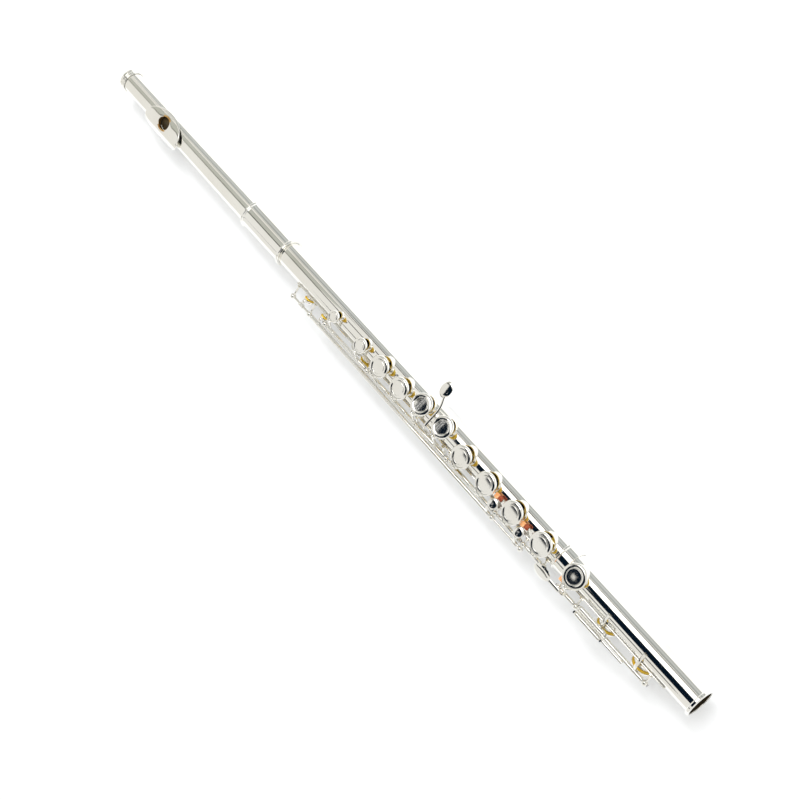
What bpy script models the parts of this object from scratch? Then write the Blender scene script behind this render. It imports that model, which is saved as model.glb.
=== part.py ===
"""Concert flute in C: headjoint, body and C foot, closed tone holes, offset G keys.

While it is modelled, the tube's axis is the X axis, with the crown's outer end at x = 0 and the
foot's open end at high X.  The key cups look up (+Z), the hinge rods lie on the player's side (-Y).
At the end the whole flute is set down on z = 0 with its box centred over the origin.
An angle round the tube is counted from the top (+Z) towards the player's side (-Y).
"""
import math

import bmesh
import bpy
from mathutils import Matrix, Vector

MM = 0.001

# ---------------------------------------------------------------- fits
GAP = 0.3 * MM            # between touching pieces that are soldered, glued or pressed together
END_PLAY = 0.4 * MM       # between two hinge tubes on one axle
RUNNING = 0.1 * MM        # between an axle and the bore it runs in

# ---------------------------------------------------------------- tube
TUBE_R = 9.9 * MM         # outside radius of body and foot
TUBE_WALL = 0.4 * MM
CROWN_TUBE_R = TUBE_R - 1.1 * MM   # outside radius of the tapered headjoint at its closed end
TUBE_SIDES = 28

CROWN_LENGTH = 4.6 * MM
CROWN_R = CROWN_TUBE_R + 0.9 * MM
HEAD_RING_LENGTH = 1.8 * MM
HEAD_RING_HEIGHT = 0.7 * MM
HEAD_TAPER_END = 170.0 * MM
BARREL_START = 176.6 * MM
BARREL_END = 225.2 * MM
TENON_DEPTH = 40.0 * MM
BARREL_WALL = 0.8 * MM
BARREL_RING_LENGTH = 2.4 * MM
BARREL_RING_HEIGHT = 1.2 * MM
BODY_END = 551.0 * MM
SOCKET_START = 541.3 * MM
SOCKET_LENGTH = 10.5 * MM
SOCKET_WALL = 0.8 * MM
SOCKET_RING_LENGTH = 2.2 * MM
FLUTE_LENGTH = 672.9 * MM
FOOT_RING_LENGTH = 3.0 * MM
FOOT_RING_HEIGHT = 1.3 * MM

# ---------------------------------------------------------------- embouchure
BLOW_HOLE_X = 65.2 * MM
BLOW_HOLE_LENGTH = 12.0 * MM
BLOW_HOLE_WIDTH = 10.2 * MM
RISER_WALL = 1.1 * MM
LIP_LENGTH = 46.0 * MM
LIP_WIDTH = 26.0 * MM
LIP_R = 14.2 * MM         # outside radius of the lip plate's curve
LIP_THICK = 0.9 * MM
LIP_DROP = 1.8 * MM       # how far that curve's centre lies under the tube's axis
LIP_ANGLE = 21.0          # the plate reaches further down on the player's side

# ---------------------------------------------------------------- stopper
STOPPER_FACE_X = 47.9 * MM
STOPPER_PLATE = 1.2 * MM
CORK_LENGTH = 15.0 * MM
STOPPER_ROD_R = 1.5 * MM
STOPPER_CLEARANCE = 0.25 * MM

# ---------------------------------------------------------------- tone holes, cups and pads
SEAT_R = 12.0 * MM        # a tone hole's rim, from the tube's axis
CHIMNEY_WALL = 0.8 * MM
PAD_MARGIN = 2.1 * MM     # a cup's radius less its tone hole's
CUP_WALL = 0.5 * MM
CUP_LOWER_EDGE = 1.1 * MM
CUP_TOP = 3.5 * MM
CUP_RIM_WIDTH = 0.8 * MM
CUP_DISH = 0.4 * MM
CUP_CEILING = 0.6 * MM
CUP_SIDES = 16

HOLE_MM = TUBE_R / 9.9     # the tone holes and their cups grow with the tube
# name: (place along the tube, angle round it, cup radius)
CUPS = {
    "trill_d_sharp": (263.5 * MM, 93.0, 4.6 * HOLE_MM),
    "trill_d": (284.0 * MM, 93.0, 4.6 * HOLE_MM),
    "c_sharp": (298.6 * MM, 0.0, 4.7 * HOLE_MM),
    "c": (330.3 * MM, 0.0, 6.0 * HOLE_MM),
    "thumb_b": (331.5 * MM, 120.0, 7.4 * HOLE_MM),
    "b_flat": (353.1 * MM, 0.0, 8.4 * HOLE_MM),
    "a": (375.9 * MM, 0.0, 8.4 * HOLE_MM),
    "upper_g": (397.5 * MM, -18.0, 8.5 * HOLE_MM),
    "lower_g": (420.9 * MM, -18.0, 8.5 * HOLE_MM),
    "g_sharp": (409.2 * MM, 135.0, 7.6 * HOLE_MM),
    "f_sharp": (445.8 * MM, 0.0, 8.7 * HOLE_MM),
    "f": (472.1 * MM, 0.0, 8.7 * HOLE_MM),
    "e": (500.0 * MM, 0.0, 8.8 * HOLE_MM),
    "d": (529.6 * MM, 0.0, 9.0 * HOLE_MM),
    "e_flat": (560.9 * MM, 0.0, 9.3 * HOLE_MM),
    "low_c_sharp": (594.0 * MM, 120.0, 9.0 * HOLE_MM),
    "low_c": (628.3 * MM, 120.0, 9.0 * HOLE_MM),
}
FOOT_CUPS = ("e_flat", "low_c_sharp", "low_c")

# ---------------------------------------------------------------- hinge lines and posts
MAIN_LINE = (-15.0 * MM, 4.5 * MM)        # (y, z) of each axle's centre line
TRILL_LINE = (-19.3 * MM, 3.8 * MM)
THUMB_LINE = (-4.2 * MM, -15.2 * MM)
G_SHARP_LINE = (-16.1 * MM, -1.7 * MM)
FOOT_LINE = (-17.5 * MM, 2.8 * MM)
AXLE_R = 0.9 * MM
HINGE_R = 1.7 * MM
ROUND_SIDES = 10
POST_BALL_R = 2.3 * MM
POST_STEM_R = 0.95 * MM
RIB_ANGLE = 62.0
RIB_WIDTH = 2.6 * MM
RIB_THICK = 1.1 * MM
# The thumb rib lies beside the thumb's tone hole, this far from that hole's outer wall.
THUMB_RIB_CLEAR = 1.37 * MM
THUMB_RIB_OFFSET = CUPS["thumb_b"][2] - PAD_MARGIN + CHIMNEY_WALL + THUMB_RIB_CLEAR
THUMB_RIB_ANGLE = CUPS["thumb_b"][1] + math.degrees(
    math.asin(THUMB_RIB_OFFSET / (TUBE_R + GAP + RIB_THICK / 2)))

BODY_RIB = (250.0 * MM, 540.0 * MM)
FOOT_RIB = (552.4 * MM, 651.0 * MM)
THUMB_RIB = (314.0 * MM, 349.0 * MM)
MAIN_POSTS = (290.0 * MM, 341.5 * MM, 433.4 * MM, 487.0 * MM, 517.0 * MM, 537.4 * MM)
TRILL_POSTS = (253.0 * MM, 273.8 * MM, MAIN_POSTS[3], MAIN_POSTS[4])
THUMB_POSTS = (317.0 * MM, 346.0 * MM)
G_SHARP_POSTS = (396.0 * MM, 426.0 * MM)
FOOT_POSTS = (554.4 * MM, 572.0 * MM, 639.2 * MM)

# ---------------------------------------------------------------- keys
ARM_WIDTH = 2.4 * MM
ARM_THICK = 1.2 * MM
PRONG_WIDTH = 1.6 * MM    # each of a forked arm's two prongs
PRONG_SPREAD = 0.45       # of the cup's radius, either side of its middle
OPEN_ANGLE = 9.0          # how far an open-standing key rests above its tone hole
THUMB_OPEN_ANGLE = 10.0
LOW_OPEN_ANGLE = 9.0

TOUCH_THICK = 1.3 * MM    # touch sizes are (along the tube, across it)
TRILL_TOUCH = (7.6 * MM, 9.0 * MM)
TRILL_TOUCH_PLACE = (-8.5 * MM, 13.4 * MM)      # (y, z)
TRILL_TOUCH_TILT = -4.0
THUMB_TOUCH = (15.0 * MM, 9.0 * MM)
THUMB_TOUCH_REACH = 14.0 * MM                   # from its cup's middle
G_SHARP_TOUCH = (9.0 * MM, 13.0 * MM)
G_SHARP_TOUCH_PLACE = (404.2 * MM, 23.0 * MM, 14.2 * MM)
G_SHARP_LEVER_HEIGHT = 14.6 * MM                # where it crosses over the tube
G_SHARP_LEVER_THICK = 1.0 * MM
E_FLAT_TOUCH = (15.0 * MM, 10.0 * MM)
E_FLAT_TOUCH_PLACE = (540.5 * MM, -17.2 * MM, 7.8 * MM)
E_FLAT_TOUCH_TILT = 22.0
STOP_TAIL = ((-10.6 * MM, 9.6 * MM), (-2.6 * MM, 13.4 * MM))  # a low key's stop: knee, tip

ROLLER_R = 1.7 * MM
ROLLER_WIRE_R = 0.63 * MM
ROLLER_LENGTH = 24.0 * MM
ROLLER_START = 576.0 * MM
# name: (y, z) of each roller's centre line with the key closed
ROLLER_LINES = {"low_c_sharp": (-14.4 * MM, 9.8 * MM), "low_c": (-19.6 * MM, 8.2 * MM)}
LUG_WIDTH = 2.0 * MM

SILVER = (0.86, 0.86, 0.83)
STEEL = (0.55, 0.56, 0.58)
PAD_SKIN = (0.86, 0.66, 0.16)
CORK = (0.66, 0.36, 0.15)


# ================================================================ small helpers
def material(name, colour, roughness, metallic):
    made = bpy.data.materials.new(name)
    made.use_nodes = True
    shader = made.node_tree.nodes["Principled BSDF"]
    shader.inputs["Base Color"].default_value = (*colour, 1.0)
    shader.inputs["Roughness"].default_value = roughness
    shader.inputs["Metallic"].default_value = metallic
    return made


def empty(name, parent=None, place=(0, 0, 0), turn_x=0.0):
    """A pivot that pieces hang on, placed in flute coordinates."""
    made = bpy.data.objects.new(name, None)
    made.location = Vector(place)
    if parent:
        made.location -= pivot_place(parent)
    made.rotation_euler.x = math.radians(turn_x)
    made.parent = parent
    bpy.context.collection.objects.link(made)
    return made


def pivot_place(pivot):
    """Where a pivot stands in flute coordinates, every key being closed."""
    place = Vector((0, 0, 0))
    while pivot.parent:
        place += pivot.location
        pivot = pivot.parent
    return place


def on_line(line, x):
    return Vector((x, line[0], line[1]))


def turned(solid, angle):
    """Turn a solid round the tube, from the top towards the player's side."""
    bmesh.ops.rotate(solid, cent=(0, 0, 0), matrix=Matrix.Rotation(math.radians(angle), 3, "X"),
                     verts=solid.verts)
    return solid


def moved(solid, offset):
    bmesh.ops.translate(solid, vec=offset, verts=solid.verts)
    return solid


def lathe(profile, sides, ring=False):
    """Spin (radius, height) points round Z; a ring's profile closes on itself."""
    solid = bmesh.new()
    points = [solid.verts.new((r, 0.0, z)) for r, z in profile]
    pairs = list(zip(points, points[1:]))
    if ring:
        pairs.append((points[-1], points[0]))
    edges = [solid.edges.new(pair) for pair in pairs]
    bmesh.ops.spin(solid, geom=points + edges, cent=(0, 0, 0), axis=(0, 0, 1), dvec=(0, 0, 0),
                   angle=2.0 * math.pi, steps=sides, use_merge=True, use_duplicate=False)
    bmesh.ops.remove_doubles(solid, verts=solid.verts, dist=1e-7)
    bmesh.ops.recalc_face_normals(solid, faces=solid.faces)
    return solid


def lathe_x(profile, sides, ring=False):
    """The same, round the X axis, from (radius, x) points."""
    solid = lathe(profile, sides, ring)
    bmesh.ops.rotate(solid, cent=(0, 0, 0), matrix=Matrix.Rotation(math.radians(90), 3, "Y"),
                     verts=solid.verts)
    return solid


def rod(start, end, radius, sides):
    return lathe_x([(0, start), (radius, start), (radius, end), (0, end)], sides)


def sleeve(start, end, inner, outer, sides):
    profile = [(outer, start), (outer, end), (inner, end), (inner, start)]
    return lathe_x(profile, sides, ring=True)


def together(solids):
    """Several solids that don't meet, as one mesh."""
    whole = bmesh.new()
    for solid in solids:
        mesh = bpy.data.meshes.new("part")
        solid.to_mesh(mesh)
        solid.free()
        whole.from_mesh(mesh)
        bpy.data.meshes.remove(mesh)
    return whole


def plug(x, angle, low, high, radius, sides):
    """A cylinder that stands on the tube's side, between two distances from its axis."""
    solid = lathe([(0, low), (radius, low), (radius, high), (0, high)], sides)
    half_side = Matrix.Rotation(math.pi / sides, 3, "Z")
    bmesh.ops.rotate(solid, cent=(0, 0, 0), matrix=half_side, verts=solid.verts)
    moved(solid, (x, 0, 0))
    return turned(solid, angle)


def oval_prism(x, length, width, low, high, angle, sides):
    solid = lathe([(0, low), (0.5, low), (0.5, high), (0, high)], sides)
    bmesh.ops.scale(solid, vec=(length, width, 1.0), verts=solid.verts)
    moved(solid, (x, 0, 0))
    return turned(solid, angle)


def ball(centre, radius):
    solid = bmesh.new()
    bmesh.ops.create_uvsphere(solid, u_segments=8, v_segments=5, radius=radius)
    return moved(solid, centre)


def box(low, high):
    solid = bmesh.new()
    bmesh.ops.create_cube(solid, size=1.0)
    low, high = Vector(low), Vector(high)
    bmesh.ops.scale(solid, vec=high - low, verts=solid.verts)
    return moved(solid, (low + high) / 2)


def frames(path):
    """At each point of a bent path: the way across, as near to X as it can lie, and the way up."""
    legs = [(b - a).normalized() for a, b in zip(path, path[1:])]
    found = []
    for before, after in zip([legs[0]] + legs, legs + [legs[-1]]):
        along = (before + after).normalized()
        side = (Vector((1, 0, 0)) - along * along.x).normalized()
        up = along.cross(side)
        found.append((side, up / before.dot(along)))
    return found


def strap(points, width, thick):
    """A flat bar along a bent path, mitred at its bends."""
    path = [Vector(p) for p in points]
    solid = bmesh.new()
    rings = []
    for point, (side, up) in zip(path, frames(path)):
        side = side * width / 2
        up = up * thick / 2
        corners = (point - side - up, point + side - up, point + side + up, point - side + up)
        rings.append([solid.verts.new(corner) for corner in corners])
    for first, second in zip(rings, rings[1:]):
        for i in range(4):
            solid.faces.new((first[i - 1], first[i], second[i], second[i - 1]))
    solid.faces.new(rings[0])
    solid.faces.new(rings[-1])
    bmesh.ops.recalc_face_normals(solid, faces=solid.faces)
    return solid


def pin(start, end, radius, sides=8):
    """A round bar between two points."""
    start, end = Vector(start), Vector(end)
    along = end - start
    solid = bmesh.new()
    bmesh.ops.create_cone(solid, cap_ends=True, cap_tris=False, segments=sides,
                          radius1=radius, radius2=radius, depth=along.length)
    turn = along.to_track_quat("Z", "Y").to_matrix()
    bmesh.ops.rotate(solid, cent=(0, 0, 0), matrix=turn, verts=solid.verts)
    return moved(solid, (start + end) / 2)


def place_mesh(name, solid, parent, finish=None):
    """Make an object of a solid given in flute coordinates, hung on a pivot or on the root."""
    moved(solid, -pivot_place(parent))
    mesh = bpy.data.meshes.new(name)
    solid.to_mesh(mesh)
    solid.free()
    made = bpy.data.objects.new(name, mesh)
    made.parent = parent
    if finish:
        mesh.materials.append(finish)
        mesh.shade_smooth()
        mesh.set_sharp_from_angle(angle=math.radians(35))
    else:
        made.hide_render = True
        made.display_type = "WIRE"
    bpy.context.collection.objects.link(made)
    return made


def piece(name, solid, parent, finish, joined=(), cut=(), kept=()):
    """One sub-part: a first solid with others joined to it, cut from it or bounding it."""
    made = place_mesh(name, solid, parent, finish)
    steps = [(tool, "UNION") for tool in joined]
    steps += [(tool, "INTERSECT") for tool in kept]
    steps += [(tool, "DIFFERENCE") for tool in cut]
    for number, (tool, operation) in enumerate(steps):
        step = made.modifiers.new(f"{operation.lower()} {number}", "BOOLEAN")
        step.operation = operation
        step.solver = "EXACT"
        step.object = place_mesh(f"{name} tool {number}", tool, parent)
    return made


# ================================================================ tubes
def hole_radius(cup):
    return CUPS[cup][2] - PAD_MARGIN


def bored_tube(name, start, end, cups, parent, finish):
    """A length of tube with its drawn tone holes standing up from it."""
    bore = rod(start - MM, end + MM, TUBE_R - TUBE_WALL, TUBE_SIDES)
    chimneys = []
    holes = []
    for cup in cups:
        x, angle, _ = CUPS[cup]
        wall = hole_radius(cup) + CHIMNEY_WALL
        chimneys.append(plug(x, angle, 0.7 * TUBE_R, SEAT_R, wall, CUP_SIDES))
        holes.append(plug(x, angle, 0.6 * TUBE_R, SEAT_R + MM, hole_radius(cup), CUP_SIDES))
    piece(name, rod(start, end, TUBE_R, TUBE_SIDES), parent, finish,
          joined=[together(chimneys)], cut=[bore, together(holes)])


def headjoint(root, silver):
    """The tapered tube, its end ring, and the lip plate on its riser."""
    start = CROWN_LENGTH + GAP
    end = BARREL_START + TENON_DEPTH
    inner_start = CROWN_TUBE_R - TUBE_WALL
    inner_end = TUBE_R - TUBE_WALL
    profile = [(CROWN_TUBE_R, start), (TUBE_R, HEAD_TAPER_END), (TUBE_R, end),
               (inner_end, end), (inner_end, HEAD_TAPER_END), (inner_start, start)]
    tube = lathe_x(profile, TUBE_SIDES, ring=True)
    hole = oval_prism(BLOW_HOLE_X, BLOW_HOLE_LENGTH, BLOW_HOLE_WIDTH, 0, LIP_R + MM, 0, 24)
    piece("head_tube", tube, root, silver, cut=[hole])

    ring_r = CROWN_TUBE_R + GAP + HEAD_RING_HEIGHT
    ring = sleeve(start, start + HEAD_RING_LENGTH, CROWN_TUBE_R + GAP, ring_r, TUBE_SIDES)
    bmesh.ops.bevel(ring, geom=[e for e in ring.edges if outer_edge(e, ring_r)], offset=0.3 * MM,
                    segments=1, affect="EDGES", profile=0.5, material=-1)
    piece("head_end_ring", ring, root, silver)

    riser = oval_prism(BLOW_HOLE_X, BLOW_HOLE_LENGTH + 2 * RISER_WALL,
                       BLOW_HOLE_WIDTH + 2 * RISER_WALL, 0.5 * TUBE_R, LIP_R, 0, 24)
    under_plate = rod(BLOW_HOLE_X - LIP_LENGTH, BLOW_HOLE_X + LIP_LENGTH,
                      LIP_R - LIP_THICK - GAP, TUBE_SIDES)
    moved(under_plate, (0, 0, -LIP_DROP))
    over_tube = rod(BLOW_HOLE_X - LIP_LENGTH, BLOW_HOLE_X + LIP_LENGTH, TUBE_R - 0.4 * MM,
                    TUBE_SIDES)
    hole = oval_prism(BLOW_HOLE_X, BLOW_HOLE_LENGTH, BLOW_HOLE_WIDTH, 0, LIP_R + MM, 0, 24)
    piece("riser", riser, root, silver, kept=[under_plate], cut=[over_tube, hole])

    half = LIP_LENGTH / 2
    plate = sleeve(BLOW_HOLE_X - half, BLOW_HOLE_X + half, LIP_R - LIP_THICK, LIP_R, 48)
    moved(plate, (0, 0, -LIP_DROP))
    outline = oval_prism(BLOW_HOLE_X, LIP_LENGTH - MM, LIP_WIDTH, 0, 2 * LIP_R, LIP_ANGLE, 32)
    hole = oval_prism(BLOW_HOLE_X, BLOW_HOLE_LENGTH, BLOW_HOLE_WIDTH, 0, 2 * LIP_R, 0, 24)
    piece("lip_plate", plate, root, silver, kept=[outline], cut=[hole])


def outer_edge(edge, radius):
    """Whether an edge runs round the X axis at a radius."""
    return all(abs(math.hypot(v.co.y, v.co.z) - radius) < 1e-5 for v in edge.verts) and \
        abs(edge.verts[0].co.x - edge.verts[1].co.x) < 1e-6


def head_radius_inside(x):
    """The headjoint's inside radius at a place along its taper."""
    share = (x - CROWN_LENGTH) / (HEAD_TAPER_END - CROWN_LENGTH)
    return CROWN_TUBE_R - TUBE_WALL + share * (TUBE_R - CROWN_TUBE_R)


def stopper(crown_pivot, stopper_pivot, silver, cork):
    """The crown, and the screw that carries the cork and its two plates."""
    rod_hole = STOPPER_ROD_R + STOPPER_CLEARANCE
    hole_end = 2.0 * MM
    dome = [(0, hole_end), (rod_hole, hole_end), (rod_hole, CROWN_LENGTH),
            (CROWN_R - 0.8 * MM, CROWN_LENGTH), (CROWN_R - 0.8 * MM, CROWN_LENGTH - 0.9 * MM),
            (CROWN_R, CROWN_LENGTH - 1.4 * MM), (CROWN_R, 0.9 * MM),
            (CROWN_R - 0.5 * MM, 0.3 * MM), (CROWN_R - 1.4 * MM, 0), (0, 0)]
    piece("crown", lathe_x(dome, TUBE_SIDES), crown_pivot, silver)

    face_start = STOPPER_FACE_X - STOPPER_PLATE
    plate_r = head_radius_inside(face_start) - STOPPER_CLEARANCE
    piece("stopper_plate", rod(face_start, STOPPER_FACE_X, plate_r, TUBE_SIDES),
          stopper_pivot, silver)
    cork_end = face_start - GAP
    cork_start = cork_end - CORK_LENGTH
    cork_r = head_radius_inside(cork_start) - STOPPER_CLEARANCE
    piece("stopper_cork", sleeve(cork_start, cork_end, rod_hole, cork_r, TUBE_SIDES),
          stopper_pivot, cork)
    nut_end = cork_start - GAP
    piece("stopper_nut", sleeve(nut_end - 1.5 * MM, nut_end, rod_hole, cork_r - MM, TUBE_SIDES),
          stopper_pivot, silver)
    piece("stopper_screw", rod(3.0 * MM, face_start - GAP, STOPPER_ROD_R, ROUND_SIDES),
          stopper_pivot, silver)


def ringed_sleeve(name, start, end, wall, rings, ring_length, ring_height, parent, finish):
    """A socket round a tenon, with raised rings at the named ends."""
    inner = TUBE_R + GAP
    outer = inner + wall
    high = outer + ring_height
    profile = [(inner, start)]
    if "start" in rings:
        profile += [(high, start), (high, start + ring_length), (outer, start + ring_length)]
    else:
        profile += [(outer, start)]
    if "end" in rings:
        profile += [(outer, end - ring_length), (high, end - ring_length), (high, end)]
    else:
        profile += [(outer, end)]
    profile += [(inner, end)]
    piece(name, lathe_x(profile, TUBE_SIDES, ring=True), parent, finish)


# ================================================================ ribs, posts and axles
def rib(name, span, angle, posts, parent, finish):
    """A strap along the tube with its posts; posts are (x, hinge line) pairs."""
    half = RIB_WIDTH / 2
    base = TUBE_R + GAP
    strap = turned(box((span[0], -half, base), (span[1], half, base + RIB_THICK)), angle)
    foot_r = base + 0.8 * RIB_THICK
    foot = (-foot_r * math.sin(math.radians(angle)), foot_r * math.cos(math.radians(angle)))
    joined = []
    cut = []
    for x, line in posts:
        centre = on_line(line, x)
        joined.append(pin(on_line(foot, x), centre, POST_STEM_R))
        joined.append(ball(centre, POST_BALL_R))
        cut.append(axle_bore(x - 2 * POST_BALL_R, x + 2 * POST_BALL_R, line))
    piece(name, strap, parent, finish, joined=joined, cut=cut)


def axle_bore(start, end, line):
    return moved(rod(start, end, AXLE_R + RUNNING, ROUND_SIDES), on_line(line, 0))


def axle(name, start, end, line, parent, finish):
    piece(name, moved(rod(start, end, AXLE_R, ROUND_SIDES), on_line(line, 0)), parent, finish)


# ================================================================ keys
def cup_solid(cup):
    """A cup as a solid; its cavity is cut once its arms are on."""
    x, angle, radius = CUPS[cup]
    lip = radius - CUP_RIM_WIDTH
    profile = [(0, CUP_LOWER_EDGE), (radius, CUP_LOWER_EDGE), (radius, CUP_TOP - 0.5 * MM),
               (lip, CUP_TOP), (lip - CUP_RIM_WIDTH, CUP_TOP - CUP_DISH), (0, CUP_TOP - CUP_DISH)]
    profile = [(r, SEAT_R + h) for r, h in profile]
    return turned(moved(lathe(profile, CUP_SIDES), (x, 0, 0)), angle)


def cup_cavity(cup):
    x, angle, radius = CUPS[cup]
    ceiling = SEAT_R + CUP_TOP - CUP_DISH - CUP_CEILING
    return plug(x, angle, SEAT_R - 2 * MM, ceiling, radius - CUP_WALL, CUP_SIDES)


def pad(cup, pivot, finish):
    """A skin-covered felt pad, held in its cup, a little above its closed tone hole."""
    x, angle, radius = CUPS[cup]
    r = radius - CUP_WALL - GAP
    low = SEAT_R + GAP
    high = SEAT_R + CUP_TOP - CUP_DISH - CUP_CEILING - GAP
    edge = 0.4 * MM
    profile = [(0, low), (r - edge, low), (r, low + edge), (r, high), (0, high)]
    solid = turned(moved(lathe(profile, CUP_SIDES), (x, 0, 0)), angle)
    piece(f"{cup}_pad", solid, pivot, finish)


def on_cup(cup, dx, across, height):
    """A point in a cup's own frame: along the tube, across it (+ is away from the rods), up."""
    x, angle, _ = CUPS[cup]
    turn = Matrix.Rotation(math.radians(angle), 3, "X")
    return Vector((x + dx, 0, 0)) + turn @ Vector((0, across, SEAT_R + height))


def forked_arm(cup, line):
    """A Y-shaped arm, bent at its fork, from the hinge tube to the near edge of a cup."""
    x, _, radius = CUPS[cup]
    half = ARM_WIDTH / 2
    prong = PRONG_WIDTH / 2
    spread = PRONG_SPREAD * radius
    path = [on_line(line, x),
            on_cup(cup, 0, -radius - 1.6 * MM, CUP_LOWER_EDGE + 0.6 * MM),
            on_cup(cup, 0, -0.78 * radius, CUP_TOP - 0.3 * MM)]
    outline = [(-half, 0), (half, 0), (half, 1), (spread + prong, 2), (spread - prong, 2), (0, 1),
               (prong - spread, 2), (-prong - spread, 2), (-half, 1)]
    ups = [up * ARM_THICK / 2 for _, up in frames(path)]
    solid = bmesh.new()
    low = [solid.verts.new(path[i] + Vector((dx, 0, 0)) - ups[i]) for dx, i in outline]
    high = [solid.verts.new(path[i] + Vector((dx, 0, 0)) + ups[i]) for dx, i in outline]
    for corners in ((0, 1, 2, 5, 8), (5, 2, 3, 4), (8, 5, 6, 7)):
        solid.faces.new([low[i] for i in corners])
        solid.faces.new([high[i] for i in corners])
    for i in range(len(outline)):
        solid.faces.new((low[i - 1], low[i], high[i], high[i - 1]))
    bmesh.ops.recalc_face_normals(solid, faces=solid.faces)
    return [solid]


def plain_arm(cup, line, side=-1):
    """An unforked arm from the hinge tube to a cup; side says over which edge it comes."""
    x, _, radius = CUPS[cup]
    height = CUP_TOP - 0.7 * MM
    return [strap([on_line(line, x), on_cup(cup, 0, side * (radius + MM), height),
                   on_cup(cup, 0, side * 0.85 * radius, height)], ARM_WIDTH, ARM_THICK)]


def key(name, line, span, cups, arms, root, open_angle, silver, skin, solid_rod=None):
    """A key: a hinge tube, its cups, its arms and touches; then its pads on the same pivot."""
    middle = (span[0] + span[1]) / 2
    pivot = empty(f"{name} pivot", root, on_line(line, middle), open_angle)
    tube = moved(rod(span[0], span[1], HINGE_R, ROUND_SIDES), on_line(line, 0))
    joined = list(arms) + [cup_solid(cup) for cup in cups]
    cut = [cup_cavity(cup) for cup in cups]
    if solid_rod:
        joined.append(moved(rod(*solid_rod, AXLE_R, ROUND_SIDES), on_line(line, 0)))
    else:
        cut.append(axle_bore(span[0] - MM, span[1] + MM, line))
    piece(f"{name}_key", tube, pivot, silver, joined=joined, cut=cut)
    for cup in cups:
        pad(cup, pivot, skin)
    return pivot


def between(posts, first, last):
    """The span of a hinge tube from one post to another, clear of both balls."""
    clear = POST_BALL_R + GAP
    return posts[first] + clear, posts[last] - clear


def split(span, *places):
    """Cut a span into neighbouring hinge tubes with end play between them."""
    half = END_PLAY / 2
    starts = [span[0]] + [p + half for p in places]
    ends = [p - half for p in places] + [span[1]]
    return list(zip(starts, ends))


def upper_keys(root, silver, skin):
    """The left hand's keys on the main line."""
    arms = plain_arm("c_sharp", MAIN_LINE) + plain_arm("c", MAIN_LINE)
    key("c", MAIN_LINE, between(MAIN_POSTS, 0, 1), ["c_sharp", "c"], arms, root, OPEN_ANGLE,
        silver, skin)

    after_b = (CUPS["b_flat"][0] + CUPS["a"][0]) / 2
    after_a = (CUPS["a"][0] + CUPS["upper_g"][0]) / 2
    spans = split(between(MAIN_POSTS, 1, 2), after_b, after_a)
    for name, span in zip(("b_flat", "a"), spans):
        key(name, MAIN_LINE, span, [name], forked_arm(name, MAIN_LINE), root, OPEN_ANGLE,
            silver, skin)
    arms = forked_arm("upper_g", MAIN_LINE) + forked_arm("lower_g", MAIN_LINE)
    key("g", MAIN_LINE, spans[2], ["upper_g", "lower_g"], arms, root, OPEN_ANGLE, silver, skin)


def lower_keys(root, silver, skin):
    """The right hand's keys on the main line."""
    after_f_sharp = (CUPS["f_sharp"][0] + CUPS["f"][0]) / 2
    spans = split(between(MAIN_POSTS, 2, 3), after_f_sharp)
    spans += [between(MAIN_POSTS, 3, 4), between(MAIN_POSTS, 4, 5)]
    for name, span in zip(("f_sharp", "f", "e", "d"), spans):
        arms = forked_arm(name, MAIN_LINE)
        if name == "f_sharp":
            arms.append(clutch_plate(name))
        key(name, MAIN_LINE, span, [name], arms, root, OPEN_ANGLE, silver, skin)


def clutch_plate(cup):
    """The small plate on a hinge tube that the next key's lug presses down."""
    x = CUPS[cup][0] + ARM_WIDTH * 1.2
    y, z = MAIN_LINE
    return strap([(x, y, z + 0.6 * HINGE_R), (x, y + 2.4 * MM, z + 2.2 * HINGE_R)],
                 7.0 * MM, ARM_THICK)


def oval_touch(centre, size, tilt):
    half = TOUCH_THICK / 2
    solid = lathe([(0, -half), (0.5, -half), (0.5, half), (0, half)], CUP_SIDES)
    bmesh.ops.scale(solid, vec=(*size, 1.0), verts=solid.verts)
    return moved(turned(solid, tilt), centre)


def trill_touch(x, foot_x):
    """A trill key's arm over the main line, ending in an oval touch."""
    y, z = TRILL_LINE
    touch = Vector((x, *TRILL_TOUCH_PLACE))
    shoulder = (foot_x, y + 2.6 * MM, z + 4.9 * MM)
    return [strap([on_line(TRILL_LINE, foot_x), shoulder, touch], ARM_WIDTH, ARM_THICK),
            oval_touch(touch, TRILL_TOUCH, TRILL_TOUCH_TILT)]


def trill_keys(root, silver, skin):
    """Two closed keys on one line: one's solid rod turns inside the other's hinge tube."""
    x = (CUPS["f"][0] + CUPS["e"][0]) / 2 - 1.6 * MM
    clear = POST_BALL_R + GAP
    tube = (TRILL_POSTS[1] + clear, TRILL_POSTS[2] - clear)
    arms = plain_arm("trill_d", TRILL_LINE, 1) + trill_touch(x, tube[1] - ARM_WIDTH)
    key("trill_d", TRILL_LINE, tube, ["trill_d"], arms, root, 0.0, silver, skin)

    x = (CUPS["e"][0] + CUPS["d"][0]) / 2 - 3.2 * MM
    inner = (TRILL_POSTS[0] - POST_BALL_R, TRILL_POSTS[3] + POST_BALL_R)
    near_hub, far_hub = [(place - 2 * MM, place + 2 * MM)
                         for place in (CUPS["trill_d_sharp"][0], x)]
    arms = plain_arm("trill_d_sharp", TRILL_LINE, 1) + trill_touch(x, x)
    arms.append(moved(rod(*far_hub, HINGE_R, ROUND_SIDES), on_line(TRILL_LINE, 0)))
    key("trill_d_sharp", TRILL_LINE, near_hub, ["trill_d_sharp"], arms, root, 0.0, silver, skin,
        solid_rod=inner)


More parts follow.
